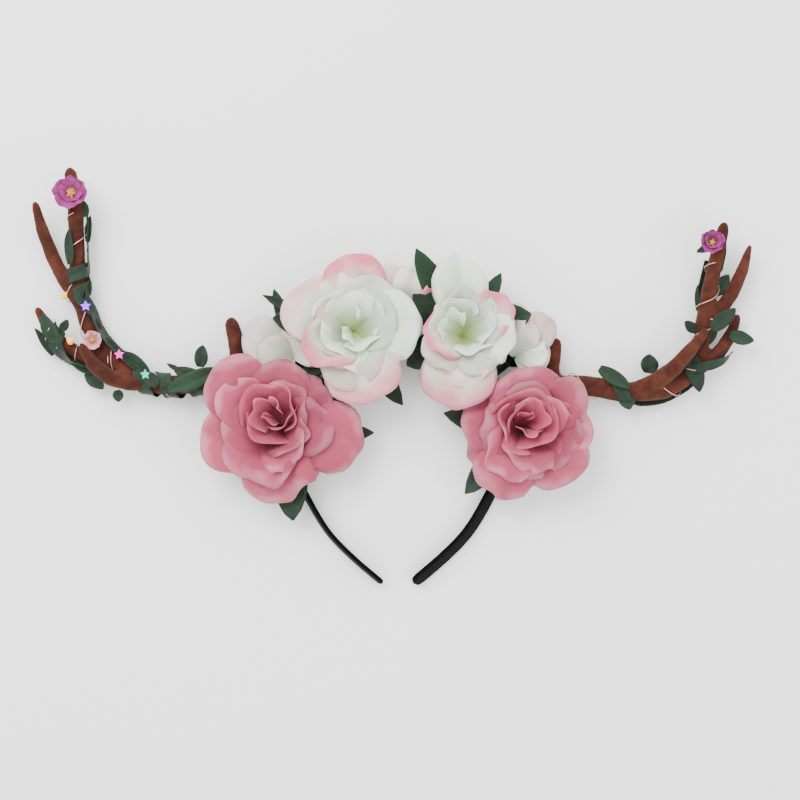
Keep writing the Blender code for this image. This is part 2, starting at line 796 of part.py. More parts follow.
def leaf_width(along):
    """Share of a leaf's half width at a share of its length, pointed at the tip."""
    swell = math.sin(math.pi * (LEAF_ROOT + (1 - LEAF_ROOT - LEAF_POINT) * along))
    return max(swell ** LEAF_FULLNESS, LEAF_TIP_WIDTH)


def leaf_place(root, heading, length, width, rise):
    """Function that places a point of a leaf, folded a little along its midrib."""
    turn = math.radians(heading)
    outward = Vector((math.cos(turn), math.sin(turn), 0))
    sideways = Vector((-outward.y, outward.x, 0))

    def place(along, across):
        half = width / 2 * leaf_width(along)
        level = rise * length * along * along + LEAF_FOLD * half * abs(across)
        return root + outward * length * along + sideways * half * across + UP * level

    return place


def build_leaf(name, leaf, hosts, finish):
    """Leaf that seats beside the core of its rose."""
    root = hosts[leaf.host].copy()
    turn = math.radians(leaf.heading)
    start = CORE_RADIUS + CLEARANCE + LEAF_THICKNESS / 4
    root.x += start * math.cos(turn)
    root.y += start * math.sin(turn)
    root.z = BAND_WIDTH + LEAF_SEAT + LEAF_LEVEL_STEP * leaf.level
    length = LEAF_LENGTH * leaf.reach - start
    place = leaf_place(root, leaf.heading, length, LEAF_WIDTH * leaf.width, leaf.rise)
    add_piece(name, sheet(name, place, 3, 2, LEAF_THICKNESS), finish)


# Garlands

def winding_at(rows, share):
    """Turns made round the beam at a share of its length."""
    for first, second in zip(rows, rows[1:]):
        if share <= second.share:
            part = (share - first.share) / (second.share - first.share)
            return first.turns + (second.turns - first.turns) * part
    return rows[-1].turns


def around_branch(course, share, angle, distance):
    """Place beside a branch, with the outward direction there."""
    point, direction, radius = course.at(share)
    level = (UP - direction * UP.dot(direction)).normalized()
    across = direction.cross(level)
    outward = level * math.cos(angle) + across * math.sin(angle)
    return point + outward * (radius + distance), outward


def ribbon_stations(course, rows):
    """Places and outward directions along the ribbon's course."""
    distance = WINDING_CLEARANCE + RIBBON_THICKNESS / 2
    stations = []
    for first, second in zip(rows, rows[1:]):
        turns = abs(second.turns - first.turns)
        stretch = (second.share - first.share) * course.lengths[-1]
        steps = math.ceil(max(turns * RIBBON_STEPS_PER_TURN, stretch / RIBBON_STEP_LENGTH))
        for step in range(steps):
            share = first.share + (second.share - first.share) * step / steps
            angle = math.tau * winding_at(rows, share)
            stations.append(around_branch(course, share, angle, distance))
    angle = math.tau * rows[-1].turns
    stations.append(around_branch(course, rows[-1].share, angle, distance))
    return stations


def build_garland(name, course, rows, leaves):
    """Ribbon wound round the beam, with small leaves, one body."""
    stations = ribbon_stations(course, rows)
    sections = []
    for index, (point, outward) in enumerate(stations):
        before = stations[max(index - 1, 0)][0]
        after = stations[min(index + 1, len(stations) - 1)][0]
        along = (after - before).normalized()
        across = along.cross(outward).normalized() * RIBBON_WIDTH / 2
        thick = outward * RIBBON_THICKNESS / 2
        sections.append((point - across - thick, point + across - thick,
                         point + across + thick, point - across + thick))
    meshes = [strip(name + "_ribbon", sections)]
    for number, leaf in enumerate(leaves):
        turn = math.radians(leaf.heading)
        heading = Vector((math.cos(turn), math.sin(turn), 0))
        nearest = round(leaf.share * (len(stations) - 1))
        near = stations[max(nearest - LEAF_SEARCH, 0):nearest + LEAF_SEARCH + 1]
        station = max(near, key=lambda place: place[1].dot(heading))
        root = station[0] + station[1] * RIBBON_THICKNESS / 4
        root.z = max(root.z, GARLAND_LEAF_WIDTH / 4)
        length = GARLAND_LEAF_LENGTH * leaf.size
        width = GARLAND_LEAF_WIDTH * leaf.size
        place = leaf_place(root, leaf.heading, length, width, GARLAND_LEAF_RISE)
        meshes.append(sheet(f"{name}_leaf_{number}", place, 2, 2, RIBBON_THICKNESS))
    fuse(name, meshes, "green_ribbon")


# Lamps and tiny flowers

def build_lamp(name, course, lamp):
    """Small round lamp against its branch."""
    distance = lamp.gap * CLEARANCE + LAMP_RADIUS
    place, _ = around_branch(course, lamp.share, math.radians(lamp.around), distance)
    bm = bmesh.new()
    bmesh.ops.create_icosphere(bm, subdivisions=1, radius=LAMP_RADIUS)
    bmesh.ops.translate(bm, verts=bm.verts[:], vec=place)
    add_piece(name, mesh_from(bm, name), "lamp_shell")


def build_flower(name, course, flower):
    """Tiny open flower with five lobes, seated on its branch."""
    around = math.radians(flower.around)
    base, outward = around_branch(course, flower.share, around, CLEARANCE)
    sideways = outward.orthogonal().normalized()
    other = outward.cross(sideways)
    corners = 2 * FLOWER_LOBES
    sections = []
    for row in FLOWER_OUTLINE:
        ring = []
        for step in range(corners):
            turn = math.tau * step / corners
            lobe = 1 + LOBE_DEPTH * math.cos(FLOWER_LOBES * turn)
            direction = sideways * math.cos(turn) + other * math.sin(turn)
            reached = direction * flower.radius * row.wide * lobe
            ring.append(base + reached + outward * FLOWER_DEPTH * row.up)
        sections.append(ring)
    add_piece(name, strip(name, sections), flower.finish)


def main():
    """Build every piece."""
    build_band()
    left = antler_courses(-1, LEFT_BRANCHES)
    right = antler_courses(1, RIGHT_BRANCHES)
    build_antler("antler_left", left)
    build_antler("antler_right", right)
    hosts = {}
    for small, roses in ((False, LARGE_ROSES), (True, SIDE_ROSES)):
        for name, rose in roses.items():
            build_rose(name, rose, small)
            hosts[name] = rose_frame(rose, small)[2]
    for number, leaf in enumerate(LEAVES, 1):
        build_leaf(f"leaf_{number:02d}", leaf, hosts, "green_satin")
    build_leaf("petal_low", LOW_PETAL, hosts, "white_silk")
    build_garland("garland_left", left["beam"], LEFT_WINDINGS, LEFT_GARLAND_LEAVES)
    build_garland("garland_right", right["beam"], RIGHT_WINDINGS, RIGHT_GARLAND_LEAVES)
    for number, lamp in enumerate(LAMPS, 1):
        build_lamp(f"lamp_{number}", left[lamp.branch], lamp)
    beams = {"left": left["beam"], "right": right["beam"]}
    for name, flower in TINY_FLOWERS.items():
        build_flower(name, beams[flower.branch], flower)


arch_course_half = arch_course()
clear_scene()
main()
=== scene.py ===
"""Finished look of a reindeer antler headband, laid out as an add-on and run as a script.

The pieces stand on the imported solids, in metres. X runs across the head, Y runs from the
free ends of the band to the top of its arch, and Z points out of the front.
"""
import math
from collections import namedtuple

import bmesh
import bpy
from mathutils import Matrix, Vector, noise


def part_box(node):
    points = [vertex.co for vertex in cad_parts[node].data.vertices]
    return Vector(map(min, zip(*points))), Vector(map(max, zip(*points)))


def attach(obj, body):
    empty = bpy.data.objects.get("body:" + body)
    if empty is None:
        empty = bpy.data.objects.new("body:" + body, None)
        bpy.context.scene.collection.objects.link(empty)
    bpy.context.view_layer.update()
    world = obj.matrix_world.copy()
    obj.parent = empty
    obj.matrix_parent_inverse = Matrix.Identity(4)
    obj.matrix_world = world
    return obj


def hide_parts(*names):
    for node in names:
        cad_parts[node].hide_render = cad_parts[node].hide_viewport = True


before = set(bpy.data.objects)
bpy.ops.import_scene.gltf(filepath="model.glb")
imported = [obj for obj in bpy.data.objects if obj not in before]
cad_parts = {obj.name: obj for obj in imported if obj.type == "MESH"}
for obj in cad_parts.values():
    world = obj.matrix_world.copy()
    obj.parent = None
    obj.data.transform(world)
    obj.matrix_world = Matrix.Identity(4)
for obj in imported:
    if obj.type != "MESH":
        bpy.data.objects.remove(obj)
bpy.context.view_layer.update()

bl_info = {
    "name": "Reindeer Antler Headband",
    "version": (1, 0, 0),
    "blender": (4, 5, 0),
    "location": "3D View > Sidebar > Headband",
    "description": "Felt antlers, silk roses, satin leaves, garlands and small lamps on a band",
    "category": "Object",
}

UP = Vector((0, 0, 1))
BODY = "root"
# Least height of petals, leaves, ribbons and wire over the floor
FLOOR_GAP = 0.0008
# Height of the petals' root over the rose's own root
PETAL_LIFT = 0.0012
# Distance of a leaf's root from its rose, the height of the lowest leaf and of each level
LEAF_GAP = 0.0045
LEAF_BASE = 0.0132
LEAF_LEVEL = 0.0020
# Rows and columns of the grids
PETAL_GRID = (18, 18)
BUD_GRID = (12, 20)
LEAF_GRID = (20, 8)
SPRIG_GRID = (14, 6)
TINY_GRID = (8, 8)
# A rose with no bud starts its colours at this share, past the green throat
OPEN_START = 0.55
# Green cup under a rose and the stem that ties it to the band
CUP_RADIUS = 0.0066
CUP_HEIGHT = 0.0110
CUP_DROP = 0.0080
STEM_RADIUS = 0.0024
# Height of the felt over the antler's solid, of the ribbon over the felt, and the points of
# the wire in each turn
FELT_LIFT = 0.00025
FELT_FLOOR = 0.0001
RIBBON_LIFT = 0.0012
WIRE_STEPS = 30
# Tiny flower: size of the outer petals, what each inner layer loses, and the centre's size
# and distance below the middle, as shares of the radius, and its height as one of the depth
TINY_OUTER = 1.08
TINY_STEP = 0.30
TINY_CENTRE = 0.24
TINY_DROP = 0.14
TINY_HEIGHT = 0.7
# Middle of the view on the floor
VIEW_X = 0.0012
VIEW_Y = -0.0300
ROSE_LEVEL = 0.015


def table(kind, *rows):
    """Return the rows of a table whose columns have the names of one kind of tuple."""
    return tuple(kind(*row) for row in rows)


# Courses of the antlers' beams and tines, with the radius at each point
CoursePoint = namedtuple("CoursePoint", "x y z radius")
LEFT_COURSES = {
    "beam": table(CoursePoint,
        (-0.0550, -0.0310, 0.0066, 0.0063),
        (-0.0737, -0.0252, 0.0064, 0.0063),
        (-0.0935, -0.0216, 0.0070, 0.0063),
        (-0.1133, -0.0190, 0.0090, 0.0063),
        (-0.1333, -0.0212, 0.0088, 0.0061),
        (-0.1531, -0.0185, 0.0085, 0.0058),
        (-0.1699, -0.0074, 0.0083, 0.0056),
        (-0.1832, 0.0076, 0.0084, 0.0054),
        (-0.1903, 0.0263, 0.0092, 0.0052),
        (-0.1928, 0.0462, 0.0107, 0.0051),
        (-0.1932, 0.0663, 0.0127, 0.0050),
        (-0.1934, 0.0863, 0.0147, 0.0049),
        (-0.1963, 0.1062, 0.0165, 0.0042),
    ),
    "outer_tine": table(CoursePoint,
        (-0.1911, 0.0278, 0.0099, 0.0047),
        (-0.1987, 0.0386, 0.0091, 0.0048),
        (-0.2053, 0.0501, 0.0092, 0.0048),
        (-0.2107, 0.0621, 0.0103, 0.0045),
        (-0.2148, 0.0746, 0.0118, 0.0040),
        (-0.2178, 0.0874, 0.0138, 0.0030),
    ),
    "lower_tine": table(CoursePoint,
        (-0.1728, -0.0080, 0.0093, 0.0047),
        (-0.1841, -0.0056, 0.0089, 0.0047),
        (-0.1950, -0.0020, 0.0087, 0.0046),
        (-0.2041, 0.0051, 0.0090, 0.0045),
        (-0.2116, 0.0138, 0.0096, 0.0041),
        (-0.2169, 0.0240, 0.0102, 0.0030),
    ),
}
RIGHT_COURSES = {
    "beam": table(CoursePoint,
        (0.0550, -0.0310, 0.0066, 0.0063),
        (0.0697, -0.0262, 0.0069, 0.0063),
        (0.0877, -0.0231, 0.0076, 0.0063),
        (0.1058, -0.0208, 0.0083, 0.0063),
        (0.1238, -0.0231, 0.0092, 0.0062),
        (0.1418, -0.0253, 0.0096, 0.0061),
        (0.1600, -0.0240, 0.0094, 0.0059),
        (0.1747, -0.0141, 0.0092, 0.0058),
        (0.1825, 0.0022, 0.0089, 0.0054),
        (0.1848, 0.0203, 0.0099, 0.0052),
        (0.1877, 0.0382, 0.0122, 0.0049),
        (0.1912, 0.0559, 0.0144, 0.0045),
        (0.1951, 0.0737, 0.0162, 0.0039),
    ),
    "outer_tine": table(CoursePoint,
        (0.1840, 0.0105, 0.0096, 0.0044),
        (0.1915, 0.0198, 0.0091, 0.0047),
        (0.1985, 0.0294, 0.0090, 0.0049),
        (0.2041, 0.0400, 0.0098, 0.0045),
        (0.2085, 0.0510, 0.0107, 0.0037),
        (0.2116, 0.0625, 0.0115, 0.0022),
    ),
    "back_tine": table(CoursePoint,
        (0.1733, -0.0156, 0.0093, 0.0047),
        (0.1817, -0.0104, 0.0091, 0.0047),
        (0.1899, -0.0049, 0.0089, 0.0048),
        (0.1966, 0.0023, 0.0087, 0.0046),
        (0.2015, 0.0108, 0.0084, 0.0042),
        (0.2049, 0.0200, 0.0078, 0.0030),
    ),
}

# Petals of a rose: heading in degrees, reach and width as shares of the rose's radius, the
# rise in degrees at the root and at the tip, how far the sides lift, how far the rim rolls
# back, how pink the rim of a white petal is, and how deep its painted shade, which darkens or lightens the
# whole petal
Petal = namedtuple("Petal", "heading reach width start end cup roll blush shade")
# Petals wrapped in the bud: heading and spread in degrees, distance from the bud's axis,
# height, flare of the rim and the step by which one edge lies outside the other, in metres
BudPetal = namedtuple("BudPetal", "heading spread radius height flare overlap")
# Roses: place of the petals' root, lean, radius, place of the bud from the root, petals
Rose = namedtuple("Rose", "root lean radius aside petals bud")
PINK_ROSES = {
    "rose_pink_left": Rose((-0.07106, -0.05044, 0.0165), (-0.36, 0.26), 0.045, (0.0030, 0.0080), table(Petal,
        (130, 1.16, 0.50, 32, 0, 0.16, 0.12, 0, 0.6),
        (190, 1.00, 0.46, 34, 2, 0.18, 0.16, 0, 0.9),
        (275, 0.92, 0.52, 30, -2, 0.14, 0.14, 0, 0.7),
        (356, 1.16, 0.50, 24, 0, 0.16, 0.14, 0, 0.8),
        (42, 0.94, 0.42, 30, 6, 0.20, 0.10, 0, 0.1),
        (80, 0.96, 0.42, 32, 8, 0.26, 0.16, 0, 0.4),
        (136, 0.88, 0.38, 42, 16, 0.24, 0.12, 0, 0.9),
        (236, 0.78, 0.44, 44, 8, 0.22, 0.18, 0, 1.0),
        (262, 0.80, 0.40, 42, 12, 0.26, 0.12, 0, 0.4),
        (6, 0.86, 0.40, 38, 14, 0.36, 0.16, 0, 0.2),
        (56, 0.74, 0.38, 46, 20, 0.34, 0.14, 0, 0.1),
        (170, 0.70, 0.40, 52, 22, 0.30, 0.16, 0, 0.5),
        (300, 0.66, 0.40, 52, 20, 0.34, 0.16, 0, 0.8),
        (344, 0.62, 0.36, 54, 26, 0.40, 0.12, 0, 0.0),
    ), table(BudPetal,
        (246, 84, 0.0125, 0.0190, 0.0060, 0.0024),
        (20, 76, 0.0112, 0.0215, 0.0045, 0.0022),
        (128, 74, 0.0118, 0.0205, 0.0065, 0.0020),
        (312, 66, 0.0084, 0.0215, 0.0030, 0.0022),
        (178, 70, 0.0076, 0.0225, 0.0034, 0.0020),
        (60, 62, 0.0052, 0.0225, 0.0022, 0.0020),
        (236, 60, 0.0034, 0.0235, 0.0018, 0.0016),
    )),
    "rose_pink_right": Rose((0.07519, -0.04966, 0.0165), (0.32, 0.06), 0.045, (-0.0040, 0.0060), table(Petal,
        (92, 0.88, 0.52, 34, 6, 0.16, 0.14, 0, 0.7),
        (40, 0.96, 0.34, 34, 6, 0.18, 0.12, 0, 0.3),
        (8, 0.86, 0.40, 32, 4, 0.20, 0.14, 0, 0.9),
        (318, 0.90, 0.46, 32, 0, 0.16, 0.14, 0, 0.6),
        (240, 0.94, 0.46, 30, -2, 0.14, 0.16, 0, 0.8),
        (202, 0.84, 0.40, 28, 2, 0.20, 0.12, 0, 0.2),
        (160, 0.88, 0.48, 24, 2, 0.16, 0.14, 0, 0.5),
        (110, 0.72, 0.42, 44, 18, 0.28, 0.16, 0, 0.2),
        (344, 0.72, 0.40, 42, 12, 0.30, 0.16, 0, 0.1),
        (292, 0.64, 0.38, 44, 12, 0.24, 0.18, 0, 0.5),
        (226, 0.76, 0.42, 44, 12, 0.28, 0.16, 0, 1.0),
        (172, 0.72, 0.40, 44, 16, 0.34, 0.16, 0, 0.3),
        (58, 0.62, 0.38, 54, 26, 0.34, 0.14, 0, 0.9),
        (262, 0.60, 0.40, 54, 20, 0.34, 0.18, 0, 0.7),
    ), table(BudPetal,
        (84, 86, 0.0125, 0.0200, 0.0060, 0.0024),
        (204, 74, 0.0118, 0.0190, 0.0060, 0.0022),
        (324, 78, 0.0115, 0.0190, 0.0058, 0.0020),
        (20, 66, 0.0082, 0.0210, 0.0034, 0.0022),
        (150, 66, 0.0078, 0.0205, 0.0032, 0.0020),
        (268, 66, 0.0058, 0.0215, 0.0028, 0.0020),
        (90, 62, 0.0034, 0.0225, 0.0018, 0.0016),
    )),
}
WHITE_ROSES = {
    "rose_white_left": Rose((-0.02705, 0.01077, 0.0175), (-0.10, 0.14), 0.045, (0.0, 0.0030), table(Petal,
        (86, 1.02, 0.44, 40, 8, 0.16, 0.14, 1.0, 0.6),
        (152, 0.96, 0.48, 38, 6, 0.16, 0.12, 0.6, 0.9),
        (222, 0.80, 0.40, 50, 26, 0.34, 0.10, 0.9, 0.5),
        (286, 1.06, 0.54, 38, 4, 0.12, 0.10, 0.8, 0.7),
        (330, 0.86, 0.42, 40, 10, 0.22, 0.10, 0.1, 0.3),
        (4, 0.98, 0.50, 40, 12, 0.22, 0.14, 0.0, 0.9),
        (48, 0.84, 0.42, 44, 16, 0.26, 0.12, 0.1, 0.4),
        (112, 0.78, 0.44, 48, 18, 0.24, 0.14, 0.2, 0.8),
        (190, 0.62, 0.38, 54, 32, 0.40, 0.12, 0.5, 0.2),
        (276, 0.88, 0.46, 44, 10, 0.20, 0.10, 0.4, 0.2),
        (296, 0.70, 0.42, 50, 16, 0.26, 0.10, 0.1, 0.9),
        (16, 0.74, 0.42, 50, 22, 0.44, 0.14, 0.0, 0.1),
        (76, 0.62, 0.38, 56, 30, 0.36, 0.12, 0.0, 0.7),
    ), table(BudPetal,
        (20, 52, 0.0150, 0.0180, 0.0060, 0.0030),
        (120, 54, 0.0140, 0.0190, 0.0060, 0.0030),
        (214, 56, 0.0130, 0.0200, 0.0056, 0.0030),
        (300, 50, 0.0130, 0.0170, 0.0050, 0.0026),
        (60, 34, 0.0070, 0.0195, 0.0040, 0.0050),
        (250, 34, 0.0050, 0.0205, 0.0046, 0.0050),
    )),
    "rose_white_right": Rose((0.03793, 0.00800, 0.0175), (0.06, 0.20), 0.045, (0.0, 0.0020), table(Petal,
        (104, 1.06, 0.28, 44, 18, 0.20, 0.14, 0.0, 0.7),
        (84, 0.98, 0.28, 46, 20, 0.20, 0.14, 0.0, 0.9),
        (34, 0.80, 0.38, 50, 28, 0.24, 0.14, 0.9, 0.6),
        (352, 0.78, 0.42, 46, 26, 0.30, 0.12, 0.0, 0.9),
        (312, 0.72, 0.40, 46, 22, 0.28, 0.12, 0.1, 0.2),
        (264, 1.02, 0.52, 38, 0, 0.12, 0.12, 0.8, 0.5),
        (192, 0.66, 0.36, 52, 36, 0.34, 0.10, 1.0, 0.8),
        (232, 0.70, 0.40, 50, 18, 0.30, 0.12, 0.3, 0.3),
        (68, 0.72, 0.38, 52, 28, 0.36, 0.12, 0.0, 0.2),
        (276, 0.78, 0.44, 46, 10, 0.24, 0.12, 0.5, 0.9),
        (148, 0.60, 0.36, 56, 36, 0.36, 0.12, 0.2, 0.5),
        (6, 0.62, 0.38, 54, 30, 0.40, 0.12, 0.0, 0.1),
    ), table(BudPetal,
        (8, 56, 0.0125, 0.0195, 0.0056, 0.0030),
        (92, 50, 0.0115, 0.0215, 0.0040, 0.0030),
        (176, 40, 0.0110, 0.0215, 0.0030, 0.0026),
        (288, 52, 0.0115, 0.0180, 0.0056, 0.0026),
        (110, 36, 0.0050, 0.0215, 0.0040, 0.0050),
    )),
}
SIDE_ROSES = {
    "rose_side_left": Rose((-0.06269, -0.00465, 0.0140), (-0.10, 0.05), 0.032, (0.0, 0.0), table(Petal,
        (150, 1.04, 0.46, 26, 6, 0.30, 0.16, 0.2, 0.2),
        (112, 0.78, 0.44, 30, 10, 0.26, 0.14, 0.1, 0.6),
        (206, 0.62, 0.46, 26, 4, 0.24, 0.10, 0.9, 0.4),
        (166, 0.70, 0.34, 44, 26, 0.40, 0.12, 0.2, 0.1),
        (40, 0.42, 0.40, 30, 12, 0.24, 0.12, 0.9, 0.9),
    ), ()),
    "rose_side_right": Rose((0.07032, -0.00393, 0.0140), (0.10, 0.05), 0.032, (0.0, 0.0), table(Petal,
        (54, 0.96, 0.42, 30, 8, 0.28, 0.16, 0.4, 0.2),
        (350, 0.62, 0.42, 28, 6, 0.22, 0.12, 0.1, 0.5),
        (98, 0.98, 0.40, 32, 12, 0.26, 0.14, 0.6, 0.8),
        (74, 0.76, 0.32, 44, 24, 0.44, 0.14, 0.2, 0.3),
        (20, 0.62, 0.36, 42, 18, 0.34, 0.12, 0.0, 0.9),
    ), ()),
    "rose_top": Rose((0.00564, 0.02354, 0.0140), (0.00, 0.10), 0.032, (0.0, 0.0), table(Petal,
        (66, 1.00, 0.42, 32, 14, 0.22, 0.14, 0.1, 0.8),
        (114, 0.94, 0.40, 32, 14, 0.22, 0.14, 0.1, 0.5),
        (162, 0.46, 0.34, 24, 8, 0.20, 0.10, 0.2, 0.3),
        (84, 0.84, 0.34, 44, 24, 0.34, 0.14, 0.1, 0.9),
        (48, 0.66, 0.30, 44, 24, 0.30, 0.12, 0.9, 0.6),
    ), ()),
}

# Leaves round the roses: heading in degrees, reach and width as shares of the leaf sizes,
# the step at which they sit and the share of the reach that they rise
Leaf = namedtuple("Leaf", "node host heading reach width level rise")
LEAVES = table(Leaf,
    ("leaf_01", "rose_white_left", 161, 1.16, 0.50, 2, 0.04),
    ("leaf_02", "rose_side_left", 103, 0.86, 0.50, 0, 0.05),
    ("leaf_03", "rose_white_left", 173, 0.96, 1.10, 3, 0.14),
    ("leaf_04", "rose_white_left", 220, 0.80, 0.95, 1, 0.04),
    ("leaf_05", "rose_white_left", 258, 0.92, 1.00, 1, 0.08),
    ("leaf_06", "rose_white_left", 306, 1.06, 0.80, 0, 0.06),
    ("leaf_07", "rose_white_right", 142, 0.76, 0.95, 5, 0.24),
    ("leaf_08", "rose_white_right", 206, 0.74, 1.15, 3, 0.14),
    ("leaf_09", "rose_top", 172, 0.46, 0.60, 5, 0.10),
    ("leaf_10", "rose_white_right", 116, 1.16, 0.90, 4, 0.24),
    ("leaf_11", "rose_white_right", 59, 0.90, 0.65, 0, 0.05),
    ("leaf_12", "rose_white_right", 20, 0.86, 1.20, 4, 0.20),
    ("leaf_13", "rose_pink_right", 128, 0.98, 1.10, 1, 0.06),
    ("leaf_14", "rose_pink_left", 282, 1.05, 1.20, 0, 0.04),
    ("leaf_15", "rose_pink_left", 358, 1.13, 0.80, 0, 0.06),
    ("leaf_16", "rose_pink_right", 169, 0.98, 0.80, 0, 0.05),
    ("leaf_17", "rose_pink_right", 223, 1.01, 0.90, 1, 0.04),
)
LOW_PETAL = Leaf("petal_low", "rose_pink_right", 268, 0.72, 1.45, 0, 0.04)

# Half of the band's centreline, from the top of the arch to a free end, as shares of half
# the span and of the height, and the band's sizes
ArchPoint = namedtuple("ArchPoint", "across down")
ARCH = table(ArchPoint,
    (0.00, 0.000),
    (0.36, 0.029),
    (0.68, 0.116),
    (0.90, 0.250),
    (1.00, 0.430),
    (0.98, 0.540),
    (0.90, 0.630),
    (0.70, 0.775),
    (0.46, 0.885),
    (0.15, 1.000),
)
BAND_SPAN = 0.122
BAND_HEIGHT = 0.141
BAND_WIDTH = 0.011
BAND_THICKNESS = 0.0028
TWIST_START = 0.42
TWIST_END = 0.66
LEG_TWIST = {-1: math.radians(12), 1: math.radians(34)}
BAND_STEPS = 320
BAND_SIDES = 32

# Ribbon and wire wound round a branch: share of its length and turns made. A ribbon's row
# is its branch, its width and its windings
Winding = namedtuple("Winding", "share turns")
LEFT_RIBBONS = (
    ("beam", 0.0085, table(
        Winding, (0.235, 0.10), (0.370, 2.25), (0.400, 2.85), (0.440, 3.15), (0.520, 3.17),
        (0.640, 3.18), (0.700, 3.00), (0.745, 3.90), (0.760, 4.25), (0.915, 4.30))),
    ("lower_tine", 0.0090, table(Winding, (0.02, -0.22), (0.40, -0.20), (0.62, -0.05), (0.74, 0.30))),
)
RIGHT_RIBBONS = (
    ("beam", 0.0075, table(
        Winding, (0.330, 0.70), (0.380, 1.05), (0.420, 1.36), (0.520, 1.40), (0.600, 1.36), (0.660, 1.40))),
    ("beam", 0.0060, table(Winding, (0.780, 0.62), (0.900, 0.60))),
    ("back_tine", 0.0060, table(Winding, (0.02, -0.10), (0.40, 0.10), (0.60, 0.25))),
)
# Leaves on a garland: place of the root, heading in degrees, length and width
Sprig = namedtuple("Sprig", "x y z heading length width")
LEFT_SPRIGS = table(Sprig,
    (-0.1188, -0.0102, 0.0140, 82, 0.0133, 0.0084),
    (-0.1308, -0.0120, 0.0130, 157, 0.0091, 0.0030),
    (-0.1098, -0.0126, 0.0165, 205, 0.0311, 0.0115),
    (-0.1116, -0.0234, 0.0155, 150, 0.0263, 0.0105),
    (-0.1440, -0.0216, 0.0165, 137, 0.0132, 0.0085),
    (-0.1890, 0.0210, 0.0105, 321, 0.0132, 0.0066),
    (-0.1776, 0.0066, 0.0105, 315, 0.0161, 0.0078),
    (-0.1674, -0.0024, 0.0110, 331, 0.0212, 0.0095),
    (-0.1992, 0.0042, 0.0085, 305, 0.0241, 0.0100),
    (-0.1878, -0.0132, 0.0085, 312, 0.0144, 0.0085),
    (-0.1692, -0.0240, 0.0100, 279, 0.0073, 0.0066),
    (-0.2046, 0.0042, 0.0140, 121, 0.0197, 0.0090),
    (-0.2082, -0.0030, 0.0075, 125, 0.0198, 0.0048),
    (-0.2028, 0.0114, 0.0130, 54, 0.0082, 0.0055),
    (-0.1872, 0.0450, 0.0110, 276, 0.0121, 0.0045),
    (-0.1962, 0.0510, 0.0185, 92, 0.0216, 0.0056),
    (-0.1866, 0.0648, 0.0120, 88, 0.0162, 0.0044),
    (-0.1872, 0.0798, 0.0160, 111, 0.0116, 0.0075),
)
RIGHT_SPRIGS = table(Sprig,
    (0.1206, -0.0108, 0.0175, 325, 0.0220, 0.0088),
    (0.1362, -0.0222, 0.0110, 352, 0.0224, 0.0075),
    (0.1536, -0.0258, 0.0115, 27, 0.0250, 0.0085),
    (0.1362, -0.0234, 0.0130, 281, 0.0128, 0.0100),
    (0.1512, -0.0138, 0.0085, 84, 0.0115, 0.0110),
    (0.1746, -0.0012, 0.0140, 285, 0.0249, 0.0110),
    (0.1800, 0.0114, 0.0110, 145, 0.0095, 0.0066),
    (0.1878, 0.0120, 0.0175, 44, 0.0191, 0.0092),
    (0.1992, 0.0096, 0.0130, 342, 0.0152, 0.0084),
    (0.1908, 0.0336, 0.0080, 50, 0.0149, 0.0088),
    (0.1806, 0.0240, 0.0085, 90, 0.0156, 0.0030),
    (0.1908, 0.0648, 0.0190, 211, 0.0140, 0.0055),
    (0.1956, 0.0678, 0.0150, 267, 0.0210, 0.0040),
    (0.1818, 0.0024, 0.0110, 43, 0.0149, 0.0066),
)
LEFT_WIRE = {
    "beam": table(Winding, (0.05, 0.0), (0.36, 3.0), (0.70, 5.4), (0.90, 8.0)),
    "lower_tine": table(Winding, (0.02, 0.0), (0.80, 4.2)),
    "outer_tine": table(Winding, (0.02, 0.3), (0.30, 1.6)),
}
RIGHT_WIRE = {
    "beam": table(Winding, (0.05, 0.0), (0.45, 3.6), (0.72, 6.2), (0.90, 8.0)),
    "outer_tine": table(Winding, (0.02, 0.3), (0.34, 1.8)),
}

# Lobes round a lamp's drop: heading of the first and step to the next in degrees, and as
# shares of the lamp's radius the distance, stretch, width, narrowing outwards and height
LobeForm = namedtuple("LobeForm", "first step out stretch width taper up")
HEART = LobeForm(60, 60, 0.75, 0.95, 0.72, 0.20, 0.00)
STAR = LobeForm(21.6, 72, 0.80, 0.75, 0.42, 0.34, 0.65)
LOBE_HEIGHT = 0.42
# Lamps: the CAD node, the colour and strength of the glow, and the number of lobes, which
# are a heart's where there are two and a star's points else
Lamp = namedtuple("Lamp", "node glow strength lobes")
LAMPS = table(Lamp,
    ("lamp_1", (1.00, 0.50, 0.06), 1.3, 2),
    ("lamp_2", (1.00, 0.52, 0.08), 1.3, 2),
    ("lamp_3", (0.22, 0.01, 0.90), 3.2, 5),
    ("lamp_4", (0.80, 0.02, 0.36), 1.8, 5),
    ("lamp_5", (0.01, 0.50, 0.34), 1.5, 5),
    ("lamp_6", (1.00, 0.16, 0.01), 3.0, 5),
)


def colour_setting(name, description, value):
    """Return a setting that holds a colour."""
    return bpy.props.FloatVectorProperty(name=name, description=description, subtype="COLOR",
                                         size=3, min=0, max=1, default=value)


def number_setting(name, description, low, high, value, subtype="DISTANCE"):
    """Return a setting that holds a length, unless it says otherwise."""
    return bpy.props.FloatProperty(name=name, description=description, subtype=subtype,
                                   min=low, max=high, default=value)


class FeltSettings(bpy.types.PropertyGroup):
    """Felt of the antlers."""
    # The two browns are mixed by the nap's shade: random mottle, and partly painted shade where the nap is
    # low.
    dark: colour_setting(
        "Dark brown", "Colour of the felt in its hollows", (0.030, 0.0080, 0.0055))
    light: colour_setting(
        "Light brown", "Colour of the felt where its nap stands up", (0.088, 0.0230, 0.0130))
    voxel: number_setting(
        "Fineness", "Size of the cells the felt is laid over", 0.0008, 0.003, 0.0011)
    lumps: number_setting(
        "Stuffing", "Height of the soft lumps made by the stuffing", 0, 0.001, 0.00035)


